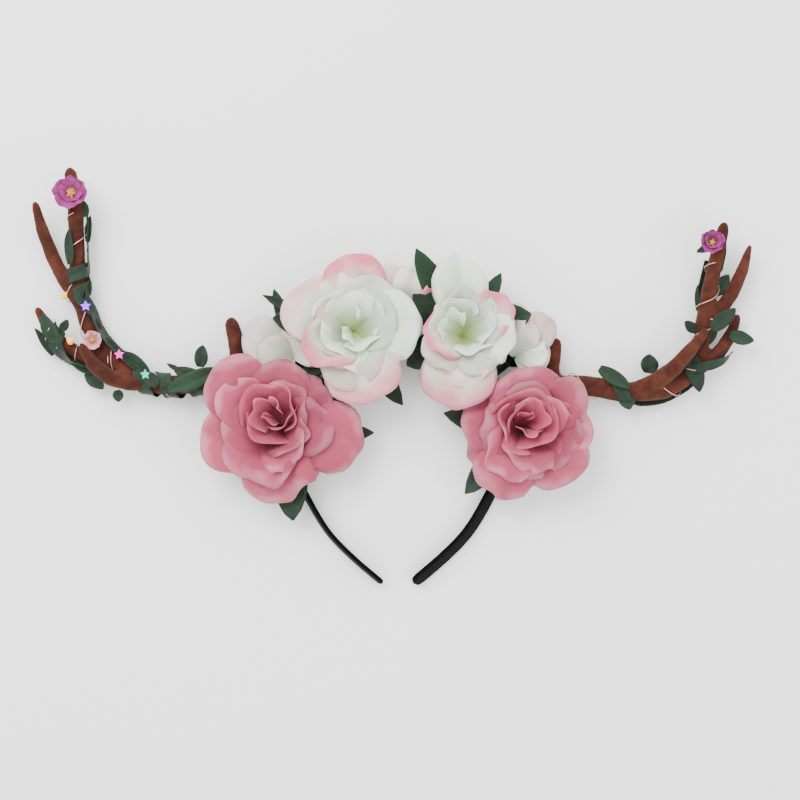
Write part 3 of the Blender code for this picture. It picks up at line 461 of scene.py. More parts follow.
class PetalSettings(bpy.types.PropertyGroup):
    """Silk of the roses."""
    pink: colour_setting(
        "Pink", "Colour of the pink petals", (0.36, 0.052, 0.100))
    # Painted shade: the deep pink darkens each pink petal towards its root.
    painted_shade_pink: colour_setting(
        "Deep pink", "Colour of the pink petals at their root", (0.095, 0.005, 0.016))
    # Painted highlight: the pale mauve lightens each pink petal's rim.
    pink_rim_highlight: colour_setting(
        "Pale mauve", "Colour of the pink petals at their rim", (0.50, 0.150, 0.210))
    white: colour_setting(
        "White", "Colour of the white petals", (0.66, 0.715, 0.60))
    # The throat green is the white petals' own green at their root, darkened as painted shade.
    throat: colour_setting(
        "Throat green", "Colour of the white petals at their root", (0.30, 0.40, 0.12))
    # Painted highlight: the white rim lightens each white petal's rim.
    white_rim_highlight: colour_setting(
        "White rim", "Colour of the white petals at their rim", (0.73, 0.765, 0.72))
    blush: colour_setting(
        "Blush", "Colour of the tips of some white petals", (0.72, 0.150, 0.235))
    thickness: number_setting(
        "Thickness", "Thickness of the silk", 0.0002, 0.001, 0.0004)
    ruffle: number_setting(
        "Ruffle", "Height of the waves along a petal's rim", 0, 0.003, 0.0016)


class GreenSettings(bpy.types.PropertyGroup):
    """Satin leaves and garlands."""
    leaf: colour_setting(
        "Leaf green", "Colour of the leaves round the roses", (0.0050, 0.0150, 0.0070))
    vein_and_highlight: colour_setting(
        # Painted highlight: the lighter green, laid in random patches and on the veins.
        "Vein green", "Colour of the leaves where they catch the light", (0.0120, 0.0420, 0.0170))
    length: number_setting(
        "Leaf length", "Reach of a leaf of size one from its rose", 0.02, 0.08, 0.050)
    width: number_setting(
        "Leaf width", "Width of a leaf of size one", 0.005, 0.03, 0.019)
    thickness: number_setting(
        "Thickness", "Thickness of the satin", 0.0002, 0.001, 0.0004)


class BandSettings(bpy.types.PropertyGroup):
    """Cloth of the headband."""
    colour: colour_setting(
        "Black", "Colour of the band's cloth", (0.0012, 0.0012, 0.0018))
    # Painted highlight on the tops of the threads; the same colour also gives the cloth's lint specks.
    glint_and_lint: colour_setting(
        "Fleck", "Colour of the threads that catch the light", (0.0060, 0.0060, 0.0090))
    thread: number_setting(
        "Thread", "Width of a thread and its gap in the weave", 0.0002, 0.001, 0.00045)


class LightSettings(bpy.types.PropertyGroup):
    """Light string and tiny flowers."""
    wire: colour_setting(
        "Wire", "Colour of the bare wire", (0.78, 0.56, 0.42))
    wire_radius: number_setting(
        "Wire radius", "Radius of the bare wire", 0.0001, 0.001, 0.00028)
    violet: colour_setting(
        "Violet", "Colour of the tiny flowers at the antlers' tips", (0.26, 0.012, 0.16))
    pale: colour_setting(
        "Pale pink", "Colour of the tiny flower at the antler's side", (0.66, 0.26, 0.32))
    centre: colour_setting(
        "Yellow centre", "Colour in the middle of the tiny flowers", (0.62, 0.27, 0.02))


class StageSettings(bpy.types.PropertyGroup):
    """Floor, lights and camera."""
    distance: number_setting(
        "Camera height", "Height of the camera over the floor", 0.4, 4, 1.15)
    width: number_setting(
        "View width", "Width of the view at the height of the roses", 0.2, 1, 0.480)
    floor: colour_setting(
        "Floor", "Colour of the floor", (1.0, 1.0, 1.0))
    key: number_setting(
        "Key light", "Power of the large soft light", 0, 100, 26.0, "POWER")
    fill: number_setting(
        "Fill light", "Power of the light from the other side", 0, 100, 5.0, "POWER")
    sky: number_setting(
        "Surroundings", "Strength of the even light from all round", 0, 3, 1.80, "NONE")


class Course:
    """A smooth curve through a few points, read by its share of length."""
    SAMPLES = 16

    def __init__(self, rows):
        points = [Vector((row.x, row.y, row.z)) for row in rows]
        last = len(points) - 1
        self.points = []
        self.values = []
        for index in range(last):
            around = [points[min(max(index + step, 0), last)] for step in (-1, 0, 1, 2)]
            for sample in range(self.SAMPLES):
                part = sample / self.SAMPLES
                self.points.append(blend(around, part))
                self.values.append(rows[index].radius * (1 - part) + rows[index + 1].radius * part)
        self.points.append(points[-1])
        self.values.append(rows[-1].radius)
        self.lengths = [0.0]
        for before, after in zip(self.points, self.points[1:]):
            self.lengths.append(self.lengths[-1] + (after - before).length)

    def at(self, share):
        """Return the point, the direction and the radius at a share of the length."""
        wanted = min(max(share, 0.0), 1.0) * self.lengths[-1]
        index = 1
        while index < len(self.lengths) - 1 and self.lengths[index] < wanted:
            index += 1
        before = self.points[index - 1]
        after = self.points[index]
        part = (wanted - self.lengths[index - 1]) / (self.lengths[index] - self.lengths[index - 1])
        radius = self.values[index - 1] * (1 - part) + self.values[index] * part
        return before.lerp(after, part), (after - before).normalized(), radius

    def beside(self, share, angle, distance):
        """Return the place beside the course in a direction round it, and that direction."""
        point, direction, radius = self.at(share)
        level = (UP - direction * UP.dot(direction)).normalized()
        outward = level * math.cos(angle) + direction.cross(level) * math.sin(angle)
        return point + outward * (radius + distance), outward


def blend(around, part):
    """Catmull-Rom point between the two middle ones of four points."""
    before, start, end, after = around
    return 0.5 * (
        2 * start
        + (end - before) * part
        + (2 * before - 5 * start + 4 * end - after) * part ** 2
        + (3 * start - before - 3 * end + after) * part ** 3
    )


def turns_at(rows, share):
    """Turns made round a branch at a share of its length."""
    for first, second in zip(rows, rows[1:]):
        if share <= second.share:
            part = (share - first.share) / (second.share - first.share)
            return first.turns + (second.turns - first.turns) * part
    return rows[-1].turns


# Nodes of the materials

class Wiring:
    """Adds nodes to one tree and joins them."""

    def __init__(self, tree):
        self.tree = tree

    def add(self, kind, **values):
        node = self.tree.nodes.new(kind)
        for name, value in values.items():
            setattr(node, name, value)
        return node

    def feed(self, socket, value):
        if isinstance(value, bpy.types.NodeSocket):
            self.tree.links.new(value, socket)
        elif isinstance(value, (tuple, list)) and len(value) == 3 and socket.type == "RGBA":
            socket.default_value = (*value, 1)
        else:
            socket.default_value = value

    def maths(self, operation, first, second=0.0):
        node = self.add("ShaderNodeMath", operation=operation)
        self.feed(node.inputs[0], first)
        self.feed(node.inputs[1], second)
        return node.outputs[0]

    def ease(self, value, low, high, start=0.0, end=1.0):
        node = self.add("ShaderNodeMapRange", interpolation_type="SMOOTHSTEP")
        for name, given in zip(("Value", "From Min", "From Max", "To Min", "To Max"),
                               (value, low, high, start, end)):
            self.feed(node.inputs[name], given)
        return node.outputs["Result"]

    def noise(self, vector, scale, detail=3.0, roughness=0.55):
        node = self.add("ShaderNodeTexNoise")
        self.feed(node.inputs["Vector"], vector)
        self.feed(node.inputs["Scale"], scale)
        self.feed(node.inputs["Detail"], detail)
        self.feed(node.inputs["Roughness"], roughness)
        return node.outputs["Fac"]

    def wave(self, vector, scale, direction, distortion=0.0):
        node = self.add("ShaderNodeTexWave", bands_direction=direction)
        self.feed(node.inputs["Vector"], vector)
        self.feed(node.inputs["Scale"], scale)
        self.feed(node.inputs["Distortion"], distortion)
        return node.outputs["Fac"]

    def mix(self, factor, first, second, blend_type="MIX"):
        node = self.add("ShaderNodeMix", data_type="RGBA", blend_type=blend_type)
        self.feed(node.inputs[0], factor)
        self.feed(node.inputs[6], first)
        self.feed(node.inputs[7], second)
        return node.outputs[2]

    def bump(self, height, distance, strength=1.0):
        node = self.add("ShaderNodeBump")
        self.feed(node.inputs["Height"], height)
        node.inputs["Distance"].default_value = distance
        node.inputs["Strength"].default_value = strength
        return node.outputs["Normal"]

    def marks(self):
        """Return the three values that a grid keeps at each point."""
        kept = self.add("ShaderNodeAttribute", attribute_name="petal")
        parts = self.add("ShaderNodeSeparateColor")
        self.feed(parts.inputs[0], kept.outputs["Color"])
        return parts.outputs

    def grey(self, value):
        node = self.add("ShaderNodeCombineColor")
        for socket in node.inputs:
            self.feed(socket, value)
        return node.outputs[0]

    def group(self, name, **values):
        node = self.add("ShaderNodeGroup", node_tree=bpy.data.node_groups[name])
        for socket, value in values.items():
            self.feed(node.inputs[socket.replace("_", " ")], value)
        return node


def new_group(name, inputs, outputs):
    """Return the wiring, the inputs and the outputs of a new shader node group."""
    tree = bpy.data.node_groups.new(name, "ShaderNodeTree")
    for label, kind, default in inputs:
        socket = tree.interface.new_socket(label, in_out="INPUT", socket_type=kind)
        if default is not None:
            socket.default_value = default
    for label, kind in outputs:
        tree.interface.new_socket(label, in_out="OUTPUT", socket_type=kind)
    wiring = Wiring(tree)
    entry = wiring.add("NodeGroupInput")
    leaving = wiring.add("NodeGroupOutput")
    return wiring, entry.outputs, leaving.inputs


def new_material(name):
    """Return a new material, its wiring, its shader and its Object coordinates."""
    material = bpy.data.materials.new(name)
    material.use_nodes = True
    wiring = Wiring(material.node_tree)
    place = wiring.add("ShaderNodeTexCoord").outputs["Object"]
    return material, wiring, material.node_tree.nodes["Principled BSDF"], place


def keep_plain(shader, **values):
    """Give sockets of a shader values that are the same everywhere."""
    for name, value in values.items():
        shader.inputs[name.replace("_", " ")].default_value = value


def make_weave_group():
    """Fine woven cloth: crossing threads, for bump and for a mask of their tops."""
    wiring, given, result = new_group(
        "Fine weave",
        (("Vector", "NodeSocketVector", None), ("Scale", "NodeSocketFloat", 700.0)),
        (("Height", "NodeSocketFloat"), ("Tops", "NodeSocketFloat")),
    )
    across = wiring.wave(given["Vector"], given["Scale"], "X", 0.6)
    along = wiring.wave(given["Vector"], given["Scale"], "Y", 0.6)
    height = wiring.maths("MAXIMUM", across, along)
    uneven = wiring.noise(given["Vector"], 900.0, 2.0)
    wiring.feed(result["Height"], wiring.maths("MULTIPLY", height, uneven))
    wiring.feed(result["Tops"], wiring.ease(wiring.maths("MULTIPLY", height, uneven), 0.45, 0.75))


def make_nap_group():
    """Short fibres standing on felt: a height, and a shade that wanders over the surface: random mottle, and
    partly painted shade, since the tufts that raise the nap also lighten it.
    """
    wiring, given, result = new_group(
        "Felt nap",
        (("Vector", "NodeSocketVector", None), ("Scale", "NodeSocketFloat", 900.0)),
        (("Height", "NodeSocketFloat"), ("Shade", "NodeSocketFloat")),
    )
    fibres = wiring.noise(given["Vector"], given["Scale"], 5.0, 0.7)
    tufts = wiring.noise(given["Vector"], wiring.maths("MULTIPLY", given["Scale"], 0.22), 3.0, 0.6)
    height = wiring.maths("ADD", wiring.maths("MULTIPLY", fibres, 0.6), wiring.maths("MULTIPLY", tufts, 0.4))
    patches = wiring.noise(given["Vector"], 70.0, 3.0, 0.5)
    wiring.feed(result["Height"], height)
    # Random mottle, and partly painted shade: the tufts raise the nap and lighten it, so its low places are
    # darker.
    shade = wiring.maths("ADD", wiring.maths("MULTIPLY", patches, 0.7), wiring.maths("MULTIPLY", tufts, 0.5))
    wiring.feed(result["Shade"], wiring.ease(shade, 0.42, 0.82))


def make_tint_group():
    """Colour along a petal from its root to its rim, with a blush at the tip. The rim colour is a painted
    highlight, and the root colour painted shade (on white petals laid over their own green throat).
    """
    wiring, given, result = new_group(
        "Petal tint",
        (("Along", "NodeSocketFloat", 0.5), ("Blush amount", "NodeSocketFloat", 0.0),
         ("Vector", "NodeSocketVector", None), ("Root", "NodeSocketColor", None),
         ("Body", "NodeSocketColor", None), ("Rim", "NodeSocketColor", None),
         ("Blush", "NodeSocketColor", None), ("Reach", "NodeSocketFloat", 0.55)),
        (("Color", "NodeSocketColor"),),
    )
    cloud = wiring.noise(given["Vector"], 60.0, 3.0, 0.5)
    wander = wiring.maths("MULTIPLY", wiring.maths("SUBTRACT", cloud, 0.5), 0.5)
    along = wiring.maths("ADD", given["Along"], wander)
    # Painted shade: the root colour darkens the petal towards its root; on white petals it is also their own
    # green throat.
    body = wiring.mix(wiring.ease(along, 0.05, given["Reach"]), given["Root"], given["Body"])
    # Painted highlight: the rim colour lightens the petal's rim.
    rim = wiring.mix(wiring.ease(along, 0.84, 1.02), body, given["Rim"])
    reach = wiring.maths("MULTIPLY", given["Blush amount"], wiring.ease(along, 0.60, 0.98))
    wiring.feed(result["Color"], wiring.mix(reach, rim, given["Blush"]))


def make_silk(name, root, body, rim, blush, reach):
    """Silk of a rose, coloured along each petal, each petal darkened or lightened by its own painted shade.
    """
    material, wiring, shader, place = new_material(name)
    marks = wiring.marks()
    tint = wiring.group("Petal tint", Along=marks[0], Blush_amount=marks[1],
                        Vector=place, Root=root, Body=body, Rim=rim, Blush=blush, Reach=reach)
    # Painted shade: each petal's own shade, wandered by noise, darkens or lightens its colour.
    shade = wiring.ease(wiring.maths("ADD", marks[2], wiring.noise(place, 45.0)), 0.3, 1.7,
                        0.66, 1.14)
    colour = wiring.mix(1.0, tint.outputs[0], wiring.grey(shade), "MULTIPLY")
    weave = wiring.group("Fine weave", Vector=place, Scale=900.0)
    crumple = wiring.noise(place, 240.0, 4.0, 0.6)
    height = wiring.maths("ADD", wiring.maths("MULTIPLY", weave.outputs["Height"], 0.25), crumple)
    wiring.feed(shader.inputs["Base Color"], colour)
    wiring.feed(shader.inputs["Roughness"], wiring.ease(crumple, 0.3, 0.7, 0.62, 0.80))
    wiring.feed(shader.inputs["Normal"], wiring.bump(height, 0.00035, 0.6))
    keep_plain(
        shader, Sheen_Weight=0.10, Sheen_Roughness=0.5, Specular_IOR_Level=0.25, Subsurface_Weight=0.12,
        Subsurface_Radius=(0.004, 0.003, 0.0025), Subsurface_Scale=1.0)
    return material


def make_satin(name, dark, light, roughness):
    """Green satin with a midrib and side veins, coloured along each leaf, with a painted highlight in the
    lighter green.
    """
    material, wiring, shader, place = new_material(name)
    marks = wiring.marks()
    along = marks[0]
    across = marks[1]
    midrib = wiring.ease(across, 0.02, 0.10, 1.0, 0.0)
    slant = wiring.maths("SUBTRACT", wiring.maths("MULTIPLY", along, 34.0),
                         wiring.maths("MULTIPLY", across, 9.0))
    side = wiring.ease(wiring.maths("SINE", slant), 0.80, 1.0)
    veins = wiring.maths("MAXIMUM", midrib, wiring.maths("MULTIPLY", side, 0.45))
    cloud = wiring.noise(place, 110.0, 3.0)
    # Painted highlight: random patches, each leaf's own shade and the veins move the colour from the dark
    # green towards the lighter one.
    patches = wiring.ease(wiring.maths("ADD", cloud, wiring.maths("MULTIPLY", marks[2], 0.5)),
                          0.45, 1.0)
    tone = wiring.maths("ADD", wiring.maths("MULTIPLY", patches, 0.85), wiring.maths("MULTIPLY", veins, 0.35))
    weave = wiring.group("Fine weave", Vector=place, Scale=1000.0)
    height = wiring.maths("ADD", wiring.maths("MULTIPLY", weave.outputs["Height"], 0.3),
                          wiring.maths("MULTIPLY", veins, -0.8))
    height = wiring.maths("ADD", height, wiring.noise(place, 160.0, 3.0))
    wiring.feed(shader.inputs["Base Color"], wiring.mix(tone, dark, light))
    wiring.feed(shader.inputs["Roughness"], wiring.ease(cloud, 0.3, 0.7, roughness - 0.06, roughness + 0.1))
    wiring.feed(shader.inputs["Normal"], wiring.bump(height, 0.0005, 0.7))
    keep_plain(shader, Specular_IOR_Level=0.30, Sheen_Weight=0.03)
    return material


def leaf_satin(settings):
    """Return the satin of the leaves and cups, made once."""
    return bpy.data.materials.get("Leaf satin") or make_satin(
        "Leaf satin", tuple(settings.leaf), tuple(settings.vein_and_highlight), 0.50)


def make_felt(settings):
    """Brown felt with a short nap."""
    material, wiring, shader, place = new_material("Brown felt")
    nap = wiring.group("Felt nap", Vector=place, Scale=1100.0)
    wiring.feed(shader.inputs["Base Color"],
                wiring.mix(nap.outputs["Shade"], tuple(settings.dark), tuple(settings.light)))
    wiring.feed(shader.inputs["Roughness"], wiring.ease(nap.outputs["Height"], 0.3, 0.7, 0.86, 0.98))
    wiring.feed(shader.inputs["Normal"], wiring.bump(nap.outputs["Height"], 0.0007, 0.8))
    keep_plain(
        shader, Sheen_Weight=0.14, Sheen_Roughness=0.6, Sheen_Tint=(0.75, 0.35, 0.22, 1),
        Specular_IOR_Level=0.15)
    return material


def make_band_cloth(settings):
    """Black woven cloth, with a painted highlight on the threads' tops and specks of lint."""
    material, wiring, shader, place = new_material("Black cloth")
    weave = wiring.group("Fine weave", Vector=place, Scale=0.314 / settings.thread)
    lint = wiring.ease(wiring.noise(place, 700.0, 2.0, 0.6), 0.60, 0.78)
    # Painted highlight: glints on the tops of the threads, in noise patches.
    glint_and_lint = wiring.maths("MULTIPLY", weave.outputs["Tops"], wiring.ease(wiring.noise(place, 90.0), 0.35, 0.7))
    tone = wiring.maths("MAXIMUM", wiring.maths("MULTIPLY", glint_and_lint, 0.5), wiring.maths("MULTIPLY", lint, 0.6))
    wiring.feed(shader.inputs["Base Color"], wiring.mix(tone, tuple(settings.colour), tuple(settings.glint_and_lint)))
    wiring.feed(shader.inputs["Roughness"], wiring.ease(weave.outputs["Height"], 0.2, 0.8, 0.70, 0.55))
    wiring.feed(shader.inputs["Normal"], wiring.bump(weave.outputs["Height"], 0.0003, 0.6))
    keep_plain(shader, Sheen_Weight=0.01, Specular_IOR_Level=0.05)
    return material


def make_wire(settings):
    """Bare copper-silver wire, a little dulled."""
    material, wiring, shader, place = new_material("Bare wire")
    dull = wiring.noise(place, 300.0, 3.0)
    wiring.feed(shader.inputs["Base Color"],
                wiring.mix(dull, tuple(settings.wire), tuple(0.62 * part for part in settings.wire)))
    wiring.feed(shader.inputs["Roughness"], wiring.ease(dull, 0.3, 0.7, 0.25, 0.45))
    keep_plain(shader, Metallic=0.85)
    return material


def make_lamp_shell(name, glow, strength):
    """Clear drop with a coloured glow that varies a little at random."""
    material, wiring, shader, place = new_material(name)
    cloud = wiring.noise(place, 500.0, 2.0)
    wiring.feed(shader.inputs["Base Color"], wiring.mix(cloud, glow, tuple(0.6 * part for part in glow)))
    wiring.feed(shader.inputs["Emission Color"], wiring.mix(cloud, glow, tuple(0.5 * part for part in glow)))
    keep_plain(shader, Emission_Strength=strength, Roughness=0.2, Coat_Weight=0.6)
    return material


def make_flower_silk(name, petal, centre):
    """Ruffled silk of a tiny flower, with a yellow middle."""
    material, wiring, shader, place = new_material(name)
    marks = wiring.marks()
    cloud = wiring.noise(place, 350.0, 3.0)
    uneven = wiring.maths("MULTIPLY", wiring.maths("SUBTRACT", cloud, 0.5), 0.3)
    wander = wiring.maths("ADD", marks[0], uneven)
    dark = tuple(0.45 * part for part in petal)
    body = wiring.mix(wiring.ease(wander, 0.35, 0.9), dark, petal)
    wiring.feed(shader.inputs["Base Color"], wiring.mix(wiring.ease(wander, 0.22, 0.38), centre, body))
    wiring.feed(shader.inputs["Roughness"], wiring.ease(cloud, 0.3, 0.7, 0.55, 0.75))
    wiring.feed(shader.inputs["Normal"], wiring.bump(wiring.noise(place, 900.0, 3.0), 0.0003, 0.6))
    keep_plain(shader, Sheen_Weight=0.2)
    return material


def make_floor(colour):
    """Plain pale floor with a hint of unevenness."""
    material, wiring, shader, place = new_material("Pale floor")
    cloud = wiring.noise(place, 4.0, 2.0)
    duller = tuple(0.985 * part for part in colour)
    wiring.feed(shader.inputs["Base Color"], wiring.mix(cloud, tuple(colour), duller))
    keep_plain(shader, Roughness=0.9, Specular_IOR_Level=0.1)
    return material


# Making of the pieces

def link_new(name, data):
    """Return a new object of the scene."""
    item = bpy.data.objects.new(name, data)
    bpy.context.scene.collection.objects.link(item)
    return item


def mesh_of(bm, name):
    """Write a bmesh into a new mesh and free it."""
    mesh = bpy.data.meshes.new(name)
    bm.to_mesh(mesh)
    bm.free()
    return mesh


def level_pair(turn):
    """Return the level direction at a turn and the one square to it."""
    outward = Vector((math.cos(turn), math.sin(turn), 0))
    return outward, Vector((-outward.y, outward.x, 0))


def new_bmesh():
    """Return a bmesh with a UV map and the layer that the silk and satin read."""
    bm = bmesh.new()
    bm.verts.layers.float_color.new("petal")
    bm.loops.layers.uv.new("UVMap")
    return bm


def add_grid(bm, place, rows, columns, marks):
    """Add a grid to a bmesh, placed by place(along, across) and marked by marks(along, across)."""
    made = bmesh.ops.create_grid(bm, x_segments=columns, y_segments=rows, size=1.0, calc_uvs=True)
    layer = bm.verts.layers.float_color["petal"]
    for vert in made["verts"]:
        along = (vert.co.y + 1) / 2
        across = vert.co.x
        vert[layer] = (*marks(along, across), 1)
        vert.co = place(along, across)


def finish_piece(bm, name, material, nodes, thickness=0.0):
    """Make a bmesh a smooth piece that rides on the body and stands for CAD nodes."""
    mesh = mesh_of(bm, name)
    piece = link_new(name, mesh)
    mesh.materials.append(material)
    mesh.shade_smooth()
    if thickness:
        wall = piece.modifiers.new("Thickness", "SOLIDIFY")
        wall.thickness = thickness
        wall.offset = 0.0
    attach(piece, BODY)
    if nodes:
        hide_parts(*nodes)
    return piece


def petal_place(root, lean, radius, petal, ruffle, seed):
    """Return the function that places a point of a petal by its shares along and across."""
    outward, sideways = level_pair(math.radians(petal.heading))
    start = math.radians(petal.start)
    end = math.radians(petal.end)
    length = petal.reach * radius
    width = petal.width * radius
    bank = 0.16 * math.sin(seed * 2.1)
    skew = 0.10 * math.sin(seed * 3.7)

    def place(along, across):
        side = math.sqrt(max(1 - across * across, 0.0))
        s = along * (0.58 + 0.42 * side + skew * across * (1 - across * across))
        slope = start + (end - start) * s / 2
        spread = 0.14 + 0.86 * math.sin(math.pi / 2 * min(s / 0.66, 1.0))
        half = width * spread
        normal = UP * math.cos(slope) - outward * math.sin(slope)
        forward = outward * math.cos(slope) + UP * math.sin(slope)
        point = root + forward * length * s + sideways * half * across
        point += normal * half * (petal.cup * across * across + bank * across)
        rim = max((along - 0.62) / 0.38, 0.0)
        edge = max(abs(across) - 0.55, 0.0) / 0.45
        point -= normal * length * petal.roll * (rim * rim + 0.45 * edge * edge * along)
        wave = math.sin(across * 4.6 + seed * 1.7) + 0.7 * math.sin(across * 8.3 + seed * 2.9)
        point += normal * ruffle * wave * along ** 2.5
        fold = noise.noise(Vector((across * 2.2, along * 0.9, seed * 3.1)))
        crumple = noise.noise(Vector((point.x, point.y, seed)) * 110)
        point += normal * s * (0.0022 * fold + 0.0010 * crumple)
        point += lean * (point.z - root.z)
        point.z = max(point.z, FLOOR_GAP)
        return point

    return place


def bud_place(root, lean, petal, seed):
    """Return the function that places a point of a petal wrapped in the bud."""
    heading = math.radians(petal.heading)
    spread = math.radians(petal.spread)

    def place(along, across):
        turn = heading + spread * across * (0.55 + 0.45 * along)
        top = 1 - 0.26 * across * across + 0.05 * math.sin(across * 5 + seed)
        rise = along * top
        distance = petal.radius * (0.45 + 0.55 * math.sin(math.pi / 2 * along))
        distance += petal.overlap * across * along + petal.flare * along ** 4
        distance += 0.0012 * math.sin(across * 5.5 + seed * 2.3) * along ** 2
        point = root + level_pair(turn)[0] * distance
        point += UP * (petal.height * rise + 0.0010 * math.sin(across * 7 + seed) * along ** 2)
        point += lean * (point.z - root.z)
        return point

    return place


def add_core(bm, root, course):
    """Add the green cup under a rose and the stem that ties it to the band."""
    first = bm.faces[:]
    nearest = min((Vector((side * point.x, point.y, 0)) for point in course.points for side in (-1, 1)),
                  key=lambda point: (point - Vector((root.x, root.y, 0))).length)
    foot = Vector((root.x, root.y, root.z - CUP_DROP))

    def cup(along, across):
        turn = math.pi * across
        wide = CUP_RADIUS * math.sin(math.pi / 2 * min(0.25 + along, 1.0))
        wide *= 1 + 0.06 * math.sin(5 * turn) * along
        return foot + Vector((wide * math.cos(turn), wide * math.sin(turn), CUP_HEIGHT * along))

    def stem(along, across):
        turn = math.pi * across
        here = Vector((nearest.x, nearest.y, BAND_WIDTH / 2)).lerp(foot + UP * 0.001, along)
        direction = Vector((root.x - nearest.x, root.y - nearest.y, 0)).normalized()
        sideways = Vector((-direction.y, direction.x, 0))
        return here + (sideways * math.cos(turn) + UP * math.sin(turn)) * STEM_RADIUS

    add_grid(bm, cup, 8, 16, lambda along, across: (along, abs(across), 0.3))
    add_grid(bm, stem, 8, 10, lambda along, across: (along, abs(across), 0.3))
    old = set(first)
    for face in bm.faces:
        if face not in old:
            face.material_index = 1


def build_rose(name, rose, material, green, settings):
    """Rose of layered petals round a wrapped bud, on its green cup and stem."""
    bm = new_bmesh()
    lean = Vector((*rose.lean, 0))
    root = Vector(rose.root) + UP * PETAL_LIFT
    bud_root = root + Vector((*rose.aside, 0))
    first = 0.0 if rose.bud else OPEN_START
    for seed, petal in enumerate(rose.petals, 1):
        place = petal_place(root, lean, rose.radius, petal, settings.ruffle, seed)
        add_grid(bm, place, *PETAL_GRID,
                 lambda along, across: (first + (1 - first) * along, petal.blush, petal.shade))
    for seed, petal in enumerate(rose.bud, 1):
        # Painted shade of each bud petal, taken from its number.
        shade = (math.sin(seed * 12.9) + 1) / 2
        place = bud_place(bud_root, lean, petal, seed)
        add_grid(bm, place, *BUD_GRID, lambda along, across: (0.10 + 0.8 * along, 0.0, shade))
    add_core(bm, Vector(rose.root), band_course())
    piece = finish_piece(bm, name + "_silk", material, [name], settings.thickness)
    piece.data.materials.append(green)
    return piece


def leaf_place(root, heading, length, width, rise, seed):
    """Return the function that places a point of a leaf folded along its midrib."""
    outward, sideways = level_pair(math.radians(heading))

    def place(along, across):
        swell = math.sin(math.pi * (0.10 + 0.88 * along) ** 0.95)
        half = width / 2 * max(swell, 0.0) ** 0.72
        half *= min((1.02 - along) / 0.10, 1.0) ** 0.6
        bend = 0.06 * length * math.sin(along * 3.0 + seed)
        level = rise * length * along * along
        level += 0.22 * half * abs(across) + 0.10 * half * math.sin(along * 9 + seed) * across
        point = root + outward * length * along
        point += sideways * (half * across + bend * along * along) + UP * level
        point.z = max(point.z, FLOOR_GAP)
        return point

    return place


def build_leaf(leaf, hosts, material, settings):
    """Leaf that starts beside the core of its rose."""
    bm = new_bmesh()
    root = Vector(hosts[leaf.host]) + level_pair(math.radians(leaf.heading))[0] * LEAF_GAP
    root.z = LEAF_BASE + LEAF_LEVEL * leaf.level
    length = settings.length * leaf.reach - LEAF_GAP
    seed = leaf.heading / 20
    place = leaf_place(root, leaf.heading, length, settings.width * leaf.width, leaf.rise, seed)
    # Painted light and shade of the whole piece: on satin it moves the colour towards the highlight green, on
    # silk it darkens or lightens the petal.
    shade = (math.sin(leaf.heading) + 1) / 2
    add_grid(bm, place, *LEAF_GRID, lambda along, across: (along, abs(across), shade))
    return finish_piece(bm, leaf.node + "_satin", material, [leaf.node], settings.thickness)


def band_course():
    """Course of half the band's centreline on the +X side."""
    rows = [CoursePoint(row.across * BAND_SPAN / 2, -row.down * BAND_HEIGHT, 0, 0) for row in ARCH]
    return Course(rows)


def band_place(course):
    """Return the function that places a point of the band's cloth, free end to free end."""
    length = course.lengths[-1]

    def place(along, across):
        side = 1 if along > 0.5 else -1
        share = abs(along - 0.5) * 2
        point, direction, _ = course.at(share)
        outward = Vector((-direction.y * side, direction.x, 0))
        ease = min(max((share - TWIST_START) / (TWIST_END - TWIST_START), 0.0), 1.0)
        twist = LEG_TWIST[side] * ease * ease * (3 - 2 * ease)
        left = (1 - share) * length
        tip = math.sqrt(max(1 - (1 - min(left / (BAND_WIDTH / 2), 1)) ** 2, 0.0))
        turn = math.pi * across
        across_share = math.copysign(abs(math.cos(turn)) ** 0.28, math.cos(turn))
        through_share = math.copysign(abs(math.sin(turn)) ** 0.55, math.sin(turn))
        wide = BAND_WIDTH / 2 * tip * across_share
        thick = BAND_THICKNESS / 2 * min(tip * 1.6, 1) * through_share
        level = BAND_WIDTH / 2 * math.cos(twist) + BAND_THICKNESS / 2 * math.sin(twist)
        upright = UP * math.cos(twist) - outward * math.sin(twist)
        level_out = outward * math.cos(twist) + UP * math.sin(twist)
        return Vector((side * point.x, point.y, level)) + upright * wide + level_out * thick

    return place


def build_band(material):
    """Band covered with fine black cloth, its seam along the inner face."""
    bm = new_bmesh()
    add_grid(bm, band_place(band_course()), BAND_STEPS, BAND_SIDES, lambda along, across: (along, across, 0))
    bmesh.ops.remove_doubles(bm, verts=bm.verts[:], dist=1e-6)
    bmesh.ops.recalc_face_normals(bm, faces=bm.faces[:])
    return finish_piece(bm, "headband_cloth", material, ["headband"])


